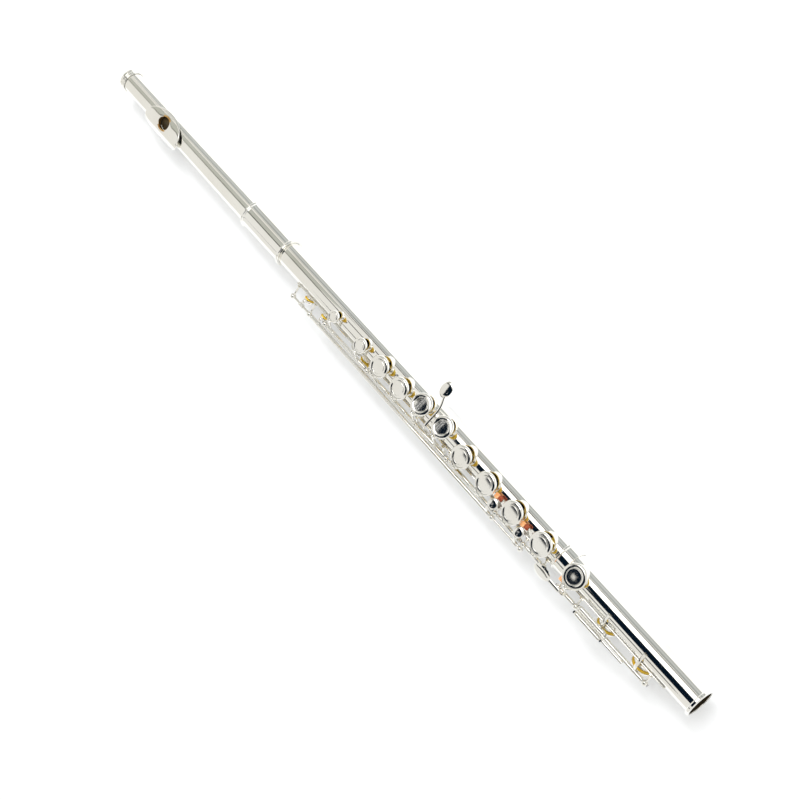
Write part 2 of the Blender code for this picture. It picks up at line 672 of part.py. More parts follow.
def thumb_key(root, silver, skin):
    """The left thumb's key behind the tube, with its touch beside the cup."""
    cup = "thumb_b"
    touch = on_cup(cup, -THUMB_TOUCH_REACH, -MM, CUP_TOP + MM)
    arms = plain_arm(cup, THUMB_LINE)
    arms.append(oval_touch(touch, THUMB_TOUCH, CUPS[cup][1]))
    arms.append(thumb_bridge(touch, on_cup(cup, -2 * MM, 0, CUP_TOP - 0.2 * MM)))
    key("thumb", THUMB_LINE, between(THUMB_POSTS, 0, 1), [cup], arms, root, THUMB_OPEN_ANGLE,
        silver, skin)


def thumb_bridge(start, end):
    """The bar between the thumb key's touch and its cup, along the tube."""
    return pin(start, end, ARM_THICK * 0.6)


def g_sharp_key(root, silver, skin):
    """A closed key: its lever comes over the tube, its cup stands behind it."""
    x = (CUPS["upper_g"][0] + CUPS["lower_g"][0]) / 2
    behind = HINGE_R + G_SHARP_LEVER_THICK / 2 + 2 * GAP
    waist = (x, MAIN_LINE[0] + behind, MAIN_LINE[1])
    shoulder = (x, -8.2 * MM, G_SHARP_LEVER_HEIGHT)
    far = (x, 11.0 * MM, G_SHARP_LEVER_HEIGHT)
    lever = [on_line(G_SHARP_LINE, x), waist, shoulder, far, G_SHARP_TOUCH_PLACE]
    arms = [strap(lever, ARM_WIDTH, G_SHARP_LEVER_THICK),
            oval_touch(G_SHARP_TOUCH_PLACE, G_SHARP_TOUCH, 0.0)]
    arms += plain_arm("g_sharp", G_SHARP_LINE, 1)
    key("g_sharp", G_SHARP_LINE, between(G_SHARP_POSTS, 0, 1), ["g_sharp"], arms, root, 0.0,
        silver, skin)


def foot_keys(foot, silver, skin):
    """E flat, closed, and low C sharp and C, open; the last two carry rollers."""
    span = between(FOOT_POSTS, 0, 1)
    start = span[0] + ARM_WIDTH
    lead = (start, FOOT_LINE[0] - 0.6 * MM, FOOT_LINE[1] + 3.2 * MM)
    arms = forked_arm("e_flat", FOOT_LINE)
    arms += [strap([on_line(FOOT_LINE, start), lead, E_FLAT_TOUCH_PLACE], ARM_WIDTH, ARM_THICK),
             oval_touch(E_FLAT_TOUCH_PLACE, E_FLAT_TOUCH, E_FLAT_TOUCH_TILT)]
    key("e_flat", FOOT_LINE, span, ["e_flat"], arms, foot, 0.0, silver, skin)

    middle = (CUPS["low_c_sharp"][0] + CUPS["low_c"][0]) / 2
    for name, span in zip(("low_c_sharp", "low_c"), split(between(FOOT_POSTS, 1, 2), middle)):
        arms = plain_arm(name, FOOT_LINE, 1) + [stop_tail(CUPS[name][0])] + roller_fork(name)
        pivot = key(name, FOOT_LINE, span, [name], arms, foot, -LOW_OPEN_ANGLE, silver, skin)
        roller(name, pivot, silver)


def stop_tail(x):
    """The bar that rests over the tube and stops an open-standing foot key."""
    return strap([on_line(place, x) for place in (FOOT_LINE, *STOP_TAIL)], ARM_WIDTH, ARM_THICK)


def roller_fork(name):
    """A roller's wire, held at both ends by lugs that stand on the hinge tube or reach it."""
    y, z = ROLLER_LINES[name]
    clear = GAP + ARM_THICK / 2
    near = ROLLER_START - clear
    far = ROLLER_START + ROLLER_LENGTH + clear
    wire = moved(rod(near, far, ROLLER_WIRE_R, ROUND_SIDES), (0, y, z))
    if name == "low_c_sharp":
        return [wire, lug(near, FOOT_LINE, (y, z)), lug(far, FOOT_LINE, (y, z))]
    reach = CUPS["low_c"][0] - 8 * MM
    top = z - ROLLER_R - GAP
    middle = top - ARM_THICK / 2
    shelf = box((near - ARM_THICK / 2, y - 0.8 * MM, top - ARM_THICK), (reach, y + 0.8 * MM, top))
    lugs = [lug(x, (y, z + 0.7 * MM), (y, middle)) for x in (near, far)]
    bridge = strap([(reach - MM, y, middle), on_line(FOOT_LINE, reach - MM)], ARM_WIDTH, ARM_THICK)
    return [wire, shelf, *lugs, bridge]


def lug(x, start, end):
    """A flat piece in one plane across the tube, between two (y, z) places."""
    return strap([(x, *start), (x, *end)], ARM_THICK, LUG_WIDTH)


def roller(name, key_pivot, silver):
    """A roller on its wire, with a pivot of its own on the wire's line."""
    line = ROLLER_LINES[name]
    middle = ROLLER_START + ROLLER_LENGTH / 2
    pivot = empty(f"{name} roller pivot", key_pivot, on_line(line, middle))
    solid = sleeve(ROLLER_START, ROLLER_START + ROLLER_LENGTH, ROLLER_WIRE_R + RUNNING, ROLLER_R,
                   ROUND_SIDES)
    piece(f"{name}_roller", moved(solid, on_line(line, 0)), pivot, silver)


# ================================================================ the flute
def set_down(root):
    """Put the flute on z = 0 with its box centred over the origin."""
    bpy.context.view_layer.update()
    graph = bpy.context.evaluated_depsgraph_get()
    points = []
    for made in bpy.context.scene.objects:
        if made.type == "MESH" and not made.hide_render:
            shape = made.evaluated_get(graph)
            points += [made.matrix_world @ v.co for v in shape.to_mesh().vertices]
            shape.to_mesh_clear()
    low = Vector([min(p[i] for p in points) for i in range(3)])
    high = Vector([max(p[i] for p in points) for i in range(3)])
    middle = (low + high) / 2
    root.location = (-middle.x, -middle.y, -low.z)


def build():
    for old in list(bpy.data.objects):
        bpy.data.objects.remove(old)
    silver = material("silver plate", SILVER, 0.12, 1.0)
    steel = material("steel", STEEL, 0.3, 1.0)
    skin = material("pad skin", PAD_SKIN, 0.6, 0.0)
    cork = material("cork", CORK, 0.9, 0.0)
    root = empty("flute")

    head = empty("head pivot", root, (BARREL_START, 0, 0))
    headjoint(head, silver)
    crown_pivot = empty("crown pivot", head, (CROWN_LENGTH, 0, 0))
    stopper_pivot = empty("stopper pivot", head, (STOPPER_FACE_X, 0, 0))
    stopper(crown_pivot, stopper_pivot, silver, cork)

    ringed_sleeve("barrel", BARREL_START, BARREL_END, BARREL_WALL, ("start", "end"),
                  BARREL_RING_LENGTH, BARREL_RING_HEIGHT, root, silver)
    body_start = BARREL_START + TENON_DEPTH + GAP
    bored_tube("body_tube", body_start, BODY_END, [c for c in CUPS if c not in FOOT_CUPS], root,
               silver)
    posts = [(x, MAIN_LINE) for x in MAIN_POSTS] + [(x, TRILL_LINE) for x in TRILL_POSTS]
    posts += [(x, G_SHARP_LINE) for x in G_SHARP_POSTS]
    rib("body_rib", BODY_RIB, RIB_ANGLE, posts, root, silver)
    rib("thumb_rib", THUMB_RIB, THUMB_RIB_ANGLE, [(x, THUMB_LINE) for x in THUMB_POSTS], root,
        silver)
    clear = POST_BALL_R
    axle("upper_axle", MAIN_POSTS[0] - clear, MAIN_POSTS[2] - GAP, MAIN_LINE, root, steel)
    axle("lower_axle", MAIN_POSTS[2] + GAP, MAIN_POSTS[-1] + clear, MAIN_LINE, root, steel)
    axle("thumb_axle", THUMB_POSTS[0] - clear, THUMB_POSTS[1] + clear, THUMB_LINE, root, steel)
    axle("g_sharp_axle", G_SHARP_POSTS[0] - clear, G_SHARP_POSTS[1] + clear, G_SHARP_LINE, root,
         steel)
    upper_keys(root, silver, skin)
    lower_keys(root, silver, skin)
    trill_keys(root, silver, skin)
    thumb_key(root, silver, skin)
    g_sharp_key(root, silver, skin)

    foot = empty("foot pivot", root, (SOCKET_START, 0, 0))
    ringed_sleeve("foot_socket", SOCKET_START, SOCKET_START + SOCKET_LENGTH, SOCKET_WALL,
                  ("start",), SOCKET_RING_LENGTH, BARREL_RING_HEIGHT, foot, silver)
    bored_tube("foot_tube", BODY_END + GAP, FLUTE_LENGTH - GAP, FOOT_CUPS, foot, silver)
    end_ring = sleeve(FLUTE_LENGTH - FOOT_RING_LENGTH, FLUTE_LENGTH, TUBE_R + GAP,
                      TUBE_R + GAP + FOOT_RING_HEIGHT, TUBE_SIDES)
    piece("foot_end_ring", end_ring, foot, silver)
    rib("foot_rib", FOOT_RIB, RIB_ANGLE, [(x, FOOT_LINE) for x in FOOT_POSTS], foot, silver)
    axle("foot_axle", FOOT_POSTS[0] - clear, FOOT_POSTS[-1] + clear, FOOT_LINE, foot, steel)
    foot_keys(foot, silver, skin)
    set_down(root)


build()
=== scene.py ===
"""Silver concert flute: the looks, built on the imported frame."""
import math

import bmesh
import bpy
from mathutils import Matrix, Vector


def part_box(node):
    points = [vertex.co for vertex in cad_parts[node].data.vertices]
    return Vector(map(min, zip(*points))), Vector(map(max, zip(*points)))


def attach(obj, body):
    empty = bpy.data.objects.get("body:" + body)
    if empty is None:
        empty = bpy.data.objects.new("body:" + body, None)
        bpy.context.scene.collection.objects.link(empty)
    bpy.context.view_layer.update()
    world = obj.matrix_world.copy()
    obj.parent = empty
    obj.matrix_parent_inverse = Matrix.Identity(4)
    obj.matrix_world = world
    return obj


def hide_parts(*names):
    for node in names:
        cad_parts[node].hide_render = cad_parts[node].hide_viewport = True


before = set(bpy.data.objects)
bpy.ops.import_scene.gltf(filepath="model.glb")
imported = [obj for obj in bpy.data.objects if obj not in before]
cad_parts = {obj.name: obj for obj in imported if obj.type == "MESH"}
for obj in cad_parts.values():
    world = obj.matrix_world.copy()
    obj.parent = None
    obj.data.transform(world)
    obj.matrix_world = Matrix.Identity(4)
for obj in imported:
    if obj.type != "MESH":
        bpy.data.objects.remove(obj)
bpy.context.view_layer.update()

MM = 0.001


# ---------------------------------------------------------------- the tube's line, read from the frame
BARREL_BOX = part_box("barrel")
CROWN_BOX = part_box("crown")
ORIGIN = Vector((CROWN_BOX[0][0], (BARREL_BOX[0][1] + BARREL_BOX[1][1]) / 2,
                 (BARREL_BOX[0][2] + BARREL_BOX[1][2]) / 2))


def along(node):
    """Where a node starts and ends, measured from the crown's outer end."""
    low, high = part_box(node)
    return low[0] - ORIGIN.x, high[0] - ORIGIN.x


def middle(node):
    start, end = along(node)
    return (start + end) / 2


# ---------------------------------------------------------------- sizes shared with the frame
TUBE_R = 9.9 * MM
TUBE_WALL = 0.4 * MM
CROWN_TUBE_R = 8.8 * MM
HEAD_TAPER_END = 170.0 * MM
BARREL_WALL = 0.8 * MM
CROWN_R = 9.7 * MM
GAP = 0.3 * MM

BLOW_HOLE = (12.0 * MM, 10.2 * MM)     # along and across
LIP_LENGTH = 45.0 * MM
LIP_R = 14.2 * MM
LIP_THICK = 0.9 * MM
LIP_DROP = 1.8 * MM
LIP_TURN = 21.0
LIP_SPREAD = 63.0                      # how far the plate reaches round, either way

SEAT_R = 12.0 * MM
PAD_MARGIN = 2.1 * MM
CHIMNEY_WALL = 0.8 * MM
CUP_LOWER_EDGE = 1.1 * MM
CUP_TOP = 3.5 * MM
CUP_WALL = 0.5 * MM
CUP_DISH = 0.4 * MM
CUP_CEILING = 0.6 * MM

# name: angle round the tube from its top, towards the rods, and radius
CUPS = {
    "trill_d_sharp": (93.0, 4.6 * MM),
    "trill_d": (93.0, 4.6 * MM),
    "c_sharp": (0.0, 4.7 * MM),
    "c": (0.0, 6.0 * MM),
    "thumb_b": (120.0, 7.4 * MM),
    "b_flat": (0.0, 8.4 * MM),
    "a": (0.0, 8.4 * MM),
    "upper_g": (-18.0, 8.5 * MM),
    "lower_g": (-18.0, 8.5 * MM),
    "g_sharp": (135.0, 7.6 * MM),
    "f_sharp": (0.0, 8.7 * MM),
    "f": (0.0, 8.7 * MM),
    "e": (0.0, 8.8 * MM),
    "d": (0.0, 9.0 * MM),
    "e_flat": (0.0, 9.3 * MM),
    "low_c_sharp": (120.0, 9.0 * MM),
    "low_c": (120.0, 9.0 * MM),
}
FOOT_CUPS = ("e_flat", "low_c_sharp", "low_c")

MAIN_LINE = (-15.0 * MM, 4.5 * MM)     # (y, z) from the tube's line
TRILL_LINE = (-19.3 * MM, 3.8 * MM)
THUMB_LINE = (-4.2 * MM, -15.2 * MM)
G_SHARP_LINE = (-16.1 * MM, -1.7 * MM)
FOOT_LINE = (-17.5 * MM, 2.8 * MM)
AXLE_R = 0.9 * MM
HINGE_R = 1.7 * MM
POST_BALL_R = 2.3 * MM
POST_STEM_R = 0.95 * MM
RIB_ANGLE = 62.0
RIB_WIDTH = 2.6 * MM
RIB_THICK = 1.1 * MM
THUMB_RIB_ANGLE = 164.0

MAIN_POSTS = (290.0 * MM, 341.5 * MM, 433.4 * MM, 487.0 * MM, 517.0 * MM, 537.4 * MM)
TRILL_POSTS = (253.0 * MM, 273.8 * MM, MAIN_POSTS[3], MAIN_POSTS[4])
THUMB_POSTS = (317.0 * MM, 346.0 * MM)
G_SHARP_POSTS = (396.0 * MM, 426.0 * MM)
FOOT_POSTS = (554.4 * MM, 572.0 * MM, 639.2 * MM)

ARM_WIDTH = 2.4 * MM
ARM_THICK = 1.2 * MM
PRONG_WIDTH = 1.6 * MM
PRONG_SPREAD = 0.45
TOUCH_THICK = 1.3 * MM
TRILL_TOUCH = (7.6 * MM, 9.0 * MM)
TRILL_TOUCH_PLACE = (-8.5 * MM, 13.4 * MM)
TRILL_TOUCH_TILT = -4.0
G_SHARP_TOUCH = (9.0 * MM, 13.0 * MM)
G_SHARP_TOUCH_PLACE = (404.2 * MM, 23.0 * MM, 14.2 * MM)
G_SHARP_LEVER_HEIGHT = 14.6 * MM
G_SHARP_LEVER_THICK = 1.0 * MM
E_FLAT_TOUCH = (15.0 * MM, 10.0 * MM)
E_FLAT_TOUCH_PLACE = (540.5 * MM, -17.2 * MM, 7.8 * MM)
E_FLAT_TOUCH_TILT = 22.0
THUMB_TOUCH = (15.0 * MM, 9.0 * MM)
THUMB_TOUCH_REACH = 14.0 * MM
STOP_TAIL = ((-10.6 * MM, 9.6 * MM), (-2.6 * MM, 13.4 * MM))     # a low key's stop: knee, tip
ROLLER_R = 1.7 * MM
ROLLER_WIRE_R = 0.63 * MM
ROLLER_LINES = {"low_c_sharp": (-14.4 * MM, 9.8 * MM), "low_c": (-19.6 * MM, 8.2 * MM)}

# key: its hinge line, the angle it stands open at rest, its cups
KEYS = {
    "c": (MAIN_LINE, 9.0, ("c_sharp", "c")),
    "b_flat": (MAIN_LINE, 9.0, ("b_flat",)),
    "a": (MAIN_LINE, 9.0, ("a",)),
    "g": (MAIN_LINE, 9.0, ("upper_g", "lower_g")),
    "f_sharp": (MAIN_LINE, 9.0, ("f_sharp",)),
    "f": (MAIN_LINE, 9.0, ("f",)),
    "e": (MAIN_LINE, 9.0, ("e",)),
    "d": (MAIN_LINE, 9.0, ("d",)),
    "trill_d": (TRILL_LINE, 0.0, ("trill_d",)),
    "trill_d_sharp": (TRILL_LINE, 0.0, ("trill_d_sharp",)),
    "thumb": (THUMB_LINE, 10.0, ("thumb_b",)),
    "g_sharp": (G_SHARP_LINE, 0.0, ("g_sharp",)),
    "e_flat": (FOOT_LINE, 0.0, ("e_flat",)),
    "low_c_sharp": (FOOT_LINE, -9.0, ("low_c_sharp",)),
    "low_c": (FOOT_LINE, -9.0, ("low_c",)),
}

TUBE_STEPS = 128
CUP_STEPS = 72
ROD_STEPS = 32
SHARP_ANGLE = 32.0


# ================================================================ materials
def new_material(name, colour, roughness, metallic):
    made = bpy.data.materials.new(name)
    made.use_nodes = True
    shader = made.node_tree.nodes["Principled BSDF"]
    shader.inputs["Base Color"].default_value = (*colour, 1.0)
    shader.inputs["Roughness"].default_value = roughness
    shader.inputs["Metallic"].default_value = metallic
    return made, made.node_tree, shader


def noise(tree, scale, detail, stretch=(1, 1, 1)):
    """Noise over the flute's own coordinates."""
    where = tree.nodes.new("ShaderNodeTexCoord")
    mapping = tree.nodes.new("ShaderNodeMapping")
    mapping.inputs["Scale"].default_value = stretch
    tree.links.new(where.outputs["Object"], mapping.inputs["Vector"])
    made = tree.nodes.new("ShaderNodeTexNoise")
    made.inputs["Scale"].default_value = scale
    made.inputs["Detail"].default_value = detail
    tree.links.new(mapping.outputs["Vector"], made.inputs["Vector"])
    return made.outputs["Fac"]


def ramp(tree, source, stops):
    made = tree.nodes.new("ShaderNodeValToRGB")
    elements = made.color_ramp.elements
    while len(elements) < len(stops):
        elements.new(0.5)
    for element, (place, colour) in zip(elements, stops):
        element.position = place
        element.color = (*colour, 1.0)
    tree.links.new(source, made.inputs["Fac"])
    return made.outputs["Color"]


def spread(tree, source, low, high):
    """Turn a 0 to 1 value into a range."""
    made = tree.nodes.new("ShaderNodeMapRange")
    made.inputs["To Min"].default_value = low
    made.inputs["To Max"].default_value = high
    tree.links.new(source, made.inputs["Value"])
    return made.outputs["Result"]


def bump(tree, shader, source, height, strength=1.0):
    made = tree.nodes.new("ShaderNodeBump")
    made.inputs["Strength"].default_value = strength
    made.inputs["Distance"].default_value = height
    tree.links.new(source, made.inputs["Height"])
    tree.links.new(made.outputs["Normal"], shader.inputs["Normal"])


def silver_plate(name, pale, worn, low, high):
    """Polished plate: a faint warm cloud of tarnish and fine handling marks."""
    made, tree, shader = new_material(name, pale, low, 1.0)
    cloud = noise(tree, 28.0, 3.0)
    tree.links.new(ramp(tree, cloud, [(0.38, pale), (0.75, worn)]), shader.inputs["Base Color"])
    marks = noise(tree, 420.0, 4.0, (0.25, 1.0, 1.0))
    tree.links.new(spread(tree, marks, low, high), shader.inputs["Roughness"])
    bump(tree, shader, marks, 0.004 * MM, 0.25)
    return made


def drawn_steel():
    made, tree, shader = new_material("steel rod", (0.62, 0.62, 0.63), 0.25, 1.0)
    grain = noise(tree, 900.0, 3.0, (0.05, 1.0, 1.0))
    tree.links.new(ramp(tree, grain, [(0.3, (0.5, 0.5, 0.52)), (0.7, (0.72, 0.72, 0.72))]),
                   shader.inputs["Base Color"])
    tree.links.new(spread(tree, grain, 0.18, 0.34), shader.inputs["Roughness"])
    return made


def pad_skin():
    """Yellow bladder skin, a little wrinkled, over felt."""
    made, tree, shader = new_material("pad skin", (0.85, 0.62, 0.14), 0.45, 0.0)
    cloud = noise(tree, 260.0, 5.0)
    tree.links.new(ramp(tree, cloud, [(0.3, (0.80, 0.46, 0.02)), (0.7, (0.98, 0.72, 0.10))]),
                   shader.inputs["Base Color"])
    wrinkles = noise(tree, 900.0, 4.0, (1.0, 1.0, 0.3))
    bump(tree, shader, wrinkles, 0.08 * MM, 0.6)
    return made


def cork(name, dark, pale):
    made, tree, shader = new_material(name, pale, 0.85, 0.0)
    grain = noise(tree, 700.0, 8.0)
    tree.links.new(ramp(tree, grain, [(0.38, dark), (0.62, pale)]), shader.inputs["Base Color"])
    bump(tree, shader, grain, 0.15 * MM, 0.8)
    return made


def gilt():
    """The warm, tarnished wall inside the blow hole."""
    made, tree, shader = new_material("gilt", (0.62, 0.38, 0.12), 0.3, 1.0)
    cloud = noise(tree, 300.0, 4.0)
    tree.links.new(ramp(tree, cloud, [(0.35, (0.42, 0.22, 0.07)), (0.7, (0.80, 0.54, 0.22))]),
                   shader.inputs["Base Color"])
    tree.links.new(spread(tree, cloud, 0.2, 0.4), shader.inputs["Roughness"])
    return made


def bore():
    """The inside of the tube: dark brown, painted shade for the depth of the bore over a tarnish tint, with
    a few golden streaks.
    """
    made, tree, shader = new_material("bore", (0.05, 0.04, 0.02), 0.4, 0.6)
    cloud = noise(tree, 160.0, 4.0, (0.3, 1.0, 1.0))
    tree.links.new(ramp(tree, cloud, [(0.4, (0.035, 0.028, 0.015)), (0.62, (0.10, 0.07, 0.03)),
                                      (0.72, (0.42, 0.26, 0.08))]), shader.inputs["Base Color"])
    return made


BORE_SHADE = bore()
BODY_SILVER = silver_plate("silver tube", (0.93, 0.92, 0.88), (0.88, 0.86, 0.80), 0.05, 0.10)
HEAD_SILVER = silver_plate("silver head", (0.94, 0.93, 0.88), (0.89, 0.87, 0.81), 0.10, 0.17)
KEY_SILVER = silver_plate("silver keys", (0.92, 0.91, 0.87), (0.86, 0.84, 0.78), 0.06, 0.12)
STEEL = drawn_steel()
SKIN = pad_skin()
CORK = cork("cork", (0.80, 0.33, 0.12), (0.93, 0.52, 0.26))
RED_CORK = cork("red cork", (0.20, 0.035, 0.012), (0.42, 0.10, 0.04))
GILT = gilt()


# ================================================================ shapes
def place(bm, name, material, body, replaced=(), slot="silver", sharp=SHARP_ANGLE):
    """Make an object of a mesh given in the flute's own coordinates, and hang it on its body."""
    bmesh.ops.translate(bm, vec=ORIGIN, verts=bm.verts)
    mesh = bpy.data.meshes.new(name)
    bm.to_mesh(mesh)
    bm.free()
    made = bpy.data.objects.new(name, mesh)
    bpy.context.collection.objects.link(made)
    mesh.materials.append(material)
    mesh.shade_smooth()
    mesh.set_sharp_from_angle(angle=math.radians(sharp))
    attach(made, body)
    if replaced:
        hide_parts(*replaced)
    return made


def merge(solids):
    """Several shells as one mesh."""
    whole = bmesh.new()
    for solid in solids:
        mesh = bpy.data.meshes.new("shell")
        solid.to_mesh(mesh)
        solid.free()
        whole.from_mesh(mesh)
        bpy.data.meshes.remove(mesh)
    return whole


def turn(bm, degrees, centre=(0, 0, 0), axis="X"):
    bmesh.ops.rotate(bm, cent=centre, matrix=Matrix.Rotation(math.radians(degrees), 3, axis),
                     verts=bm.verts)
    return bm


def shift(bm, offset):
    bmesh.ops.translate(bm, vec=offset, verts=bm.verts)
    return bm


def spin(profile, steps, ring=False):
    """Spin (radius, height) points round Z."""
    bm = bmesh.new()
    points = [bm.verts.new((r, 0.0, z)) for r, z in profile]
    pairs = list(zip(points, points[1:]))
    if ring:
        pairs.append((points[-1], points[0]))
    edges = [bm.edges.new(pair) for pair in pairs]
    bmesh.ops.spin(bm, geom=points + edges, cent=(0, 0, 0), axis=(0, 0, 1), dvec=(0, 0, 0),
                   angle=2.0 * math.pi, steps=steps, use_merge=True, use_duplicate=False)
    bmesh.ops.remove_doubles(bm, verts=bm.verts, dist=1e-7)
    bmesh.ops.recalc_face_normals(bm, faces=bm.faces)
    return bm


def spin_x(profile, steps, ring=False):
    """The same round the tube's line, from (radius, place along) points."""
    return turn(spin(profile, steps, ring), 90.0, axis="Y")


def rounded(corners, radius, arc=3, closed=True):
    """A profile with its corners rounded off; a corner is (r, h) or (r, h, its own radius)."""
    found = []
    count = len(corners)
    for i, corner in enumerate(corners):
        here = Vector(corner[:2])
        r = corner[2] if len(corner) > 2 else radius
        ends = not closed and i in (0, count - 1)
        if ends or r == 0:
            found.append(here)
            continue
        before = Vector(corners[i - 1][:2]) - here
        after = Vector(corners[(i + 1) % count][:2]) - here
        reach = min(r, before.length * 0.45, after.length * 0.45)
        start = here + before.normalized() * reach
        end = here + after.normalized() * reach
        for step in range(arc + 1):
            t = step / arc
            found.append((1 - t) ** 2 * start + 2 * t * (1 - t) * here + t ** 2 * end)
    return [tuple(point) for point in found]


def cylinder(start, end, radius, line, edge=0.15 * MM, steps=ROD_STEPS):
    profile = rounded([(0, start), (radius, start), (radius, end), (0, end)], edge, closed=False)
    return shift(spin_x(profile, steps), (0, *line))


def ball(centre, radius):
    bm = bmesh.new()
    bmesh.ops.create_uvsphere(bm, u_segments=28, v_segments=18, radius=radius)
    return shift(bm, centre)


def curve(points, steps=6):
    """A smooth path through a few points."""
    points = [Vector(p) for p in points]
    path = []
    for i in range(len(points) - 1):
        before = points[max(i - 1, 0)]
        a, b = points[i], points[i + 1]
        after = points[min(i + 2, len(points) - 1)]
        for step in range(steps):
            t = step / steps
            leave = (b - before) / 2
            arrive = (after - a) / 2
            path.append((2 * t ** 3 - 3 * t ** 2 + 1) * a + (t ** 3 - 2 * t ** 2 + t) * leave
                        + (3 * t ** 2 - 2 * t ** 3) * b + (t ** 3 - t ** 2) * arrive)
    return path + [points[-1]]


def sweep(points, width, thick, end_width=None, steps=6):
    """A rounded flat arm extruded along a smooth path."""
    path = curve(points, steps)
    end_width = end_width or width
    bm = bmesh.new()
    sides = 12
    section = []
    for i in range(sides):
        angle = 2 * math.pi * i / sides
        c, s = math.cos(angle), math.sin(angle)
        section.append((abs(c) ** 0.6 * (1 if c > 0 else -1) / 2,
                        abs(s) ** 0.6 * (1 if s > 0 else -1) / 2))

    def corners(number):
        tangent = (path[min(number + 1, len(path) - 1)] - path[max(number - 1, 0)]).normalized()
        side = (Vector((1, 0, 0)) - tangent * tangent.x)
        side = side.normalized() if side.length > 0.2 else tangent.cross(Vector((0, 0, 1))).normalized()
        up = tangent.cross(side)
        share = number / (len(path) - 1)
        wide = width + (end_width - width) * share
        return [path[number] + side * u * wide + up * v * thick for u, v in section]

    face = bm.faces.new([bm.verts.new(p) for p in corners(0)])
    for number in range(1, len(path)):
        grown = bmesh.ops.extrude_face_region(bm, geom=[face])["geom"]
        new_face = [g for g in grown if isinstance(g, bmesh.types.BMFace)][0]
        old = [v.co.copy() for v in new_face.verts]
        target = corners(number)
        start = corners(number - 1)
        for vert, was in zip(new_face.verts, old):
            nearest = min(range(sides), key=lambda k: (start[k] - was).length)
            vert.co = target[nearest]
        if number > 1:
            bm.faces.remove(face)
        face = new_face
    bmesh.ops.recalc_face_normals(bm, faces=bm.faces)
    return bm


def oval_touch(centre, size, tilt, thick=TOUCH_THICK, crown=0.35 * MM):
    """A rounded, slightly domed oval plate."""
    half = thick / 2
    corners = [(0, half + crown), (0.25, half + 0.8 * crown), (0.42, half + 0.2 * crown), (0.5, half * 0.4),
               (0.5, -half * 0.4), (0.46, -half), (0, -half)]
    bm = spin(corners, 48)
    bmesh.ops.scale(bm, vec=(size[0], size[1], 1.0), verts=bm.verts)
    turn(bm, tilt)
    return shift(bm, centre)


def on_cup(cup, dx, across, height):
    angle = math.radians(CUPS[cup][0])
    up = Vector((0, -math.sin(angle), math.cos(angle)))
    out = Vector((0, math.cos(angle), math.sin(angle)))
    return Vector((CUP_X[cup] + dx, 0, 0)) + out * across + up * (SEAT_R + height)


CUP_X = {cup: middle(f"{cup}_pad") for cup in CUPS}


# ================================================================ tubes
def holes(cups):
    """Plugs to cut tone holes with."""
    plugs = []
    for cup in cups:
        angle, radius = CUPS[cup]
        r = radius - PAD_MARGIN
        plug = spin([(0, 0.5 * TUBE_R), (r, 0.5 * TUBE_R), (r, SEAT_R + MM), (0, SEAT_R + MM)], CUP_STEPS)
        plugs.append(turn(shift(plug, (CUP_X[cup], 0, 0)), angle))
    return merge(plugs)


def cut(made, bm):
    """Take a solid away from an object, for good."""
    bmesh.ops.translate(bm, vec=ORIGIN, verts=bm.verts)
    mesh = bpy.data.meshes.new("cutter")
    bm.to_mesh(mesh)
    bm.free()
    tool = bpy.data.objects.new("cutter", mesh)
    bpy.context.collection.objects.link(tool)
    step = made.modifiers.new("holes", "BOOLEAN")
    step.operation = "DIFFERENCE"
    step.solver = "EXACT"
    step.object = tool
    graph = bpy.context.evaluated_depsgraph_get()
    shape = bpy.data.meshes.new_from_object(made.evaluated_get(graph))
    made.modifiers.clear()
    made.data = shape
    shape.shade_smooth()
    shape.set_sharp_from_angle(angle=math.radians(SHARP_ANGLE))
    bpy.data.objects.remove(tool)


def chimneys(cups):
    """Drawn tone holes: a flared foot, a wall and a rolled rim."""
    solids = []
    for cup in cups:
        angle, radius = CUPS[cup]
        r = radius - PAD_MARGIN
        w = r + CHIMNEY_WALL
        low = math.sqrt(max(TUBE_R ** 2 - w ** 2, 0)) - 0.5 * MM
        ring = spin(rounded([(r, low), (w + 0.4 * MM, low), (w - 0.3 * MM, TUBE_R + 0.4 * MM),
                             (w - 0.3 * MM, SEAT_R - 0.7 * MM),
                             (w, SEAT_R - 0.4 * MM), (w, SEAT_R), (r, SEAT_R)], 0.25 * MM), CUP_STEPS, True)
        solids.append(turn(shift(ring, (CUP_X[cup], 0, 0)), angle))
    return merge(solids)


def tube(name, cups, body):
    start, end = along(name)
    profile = rounded([(TUBE_R - TUBE_WALL, start), (TUBE_R, start), (TUBE_R, end),
                       (TUBE_R - TUBE_WALL, end)],
                      0.12 * MM)
    shell = place(spin_x(profile, TUBE_STEPS, True), f"{name}_wall", BODY_SILVER, body, [name])
    cut(shell, holes(cups))
    place(chimneys(cups), f"{name}_tone_holes", BODY_SILVER, body)


def headjoint():
    start, end = along("head_tube")
    inside = CROWN_TUBE_R - TUBE_WALL
    profile = [(CROWN_TUBE_R, start), (TUBE_R, HEAD_TAPER_END), (TUBE_R, end),
               (TUBE_R - TUBE_WALL, end), (TUBE_R - TUBE_WALL, HEAD_TAPER_END), (inside, start)]
    shell = place(spin_x(profile, TUBE_STEPS, True), "head_wall", HEAD_SILVER, "headjoint", ["head_tube"])
    cut(shell, blow_hole_plug())

    start, end = along("head_end_ring")
    inner = CROWN_TUBE_R + 0.1 * MM
    outer = CROWN_TUBE_R + GAP + 0.7 * MM
    profile = rounded([(inner, start), (outer - 0.3 * MM, start), (outer, start + 0.5 * MM),
                       (outer, end - 0.6 * MM),
                       (inner + 0.25 * MM, end)], 0.35 * MM, 4)
    place(spin_x(profile, TUBE_STEPS, True), "head_end_bead", HEAD_SILVER, "headjoint", ["head_end_ring"])


BLOW_HOLE_X = middle("riser")


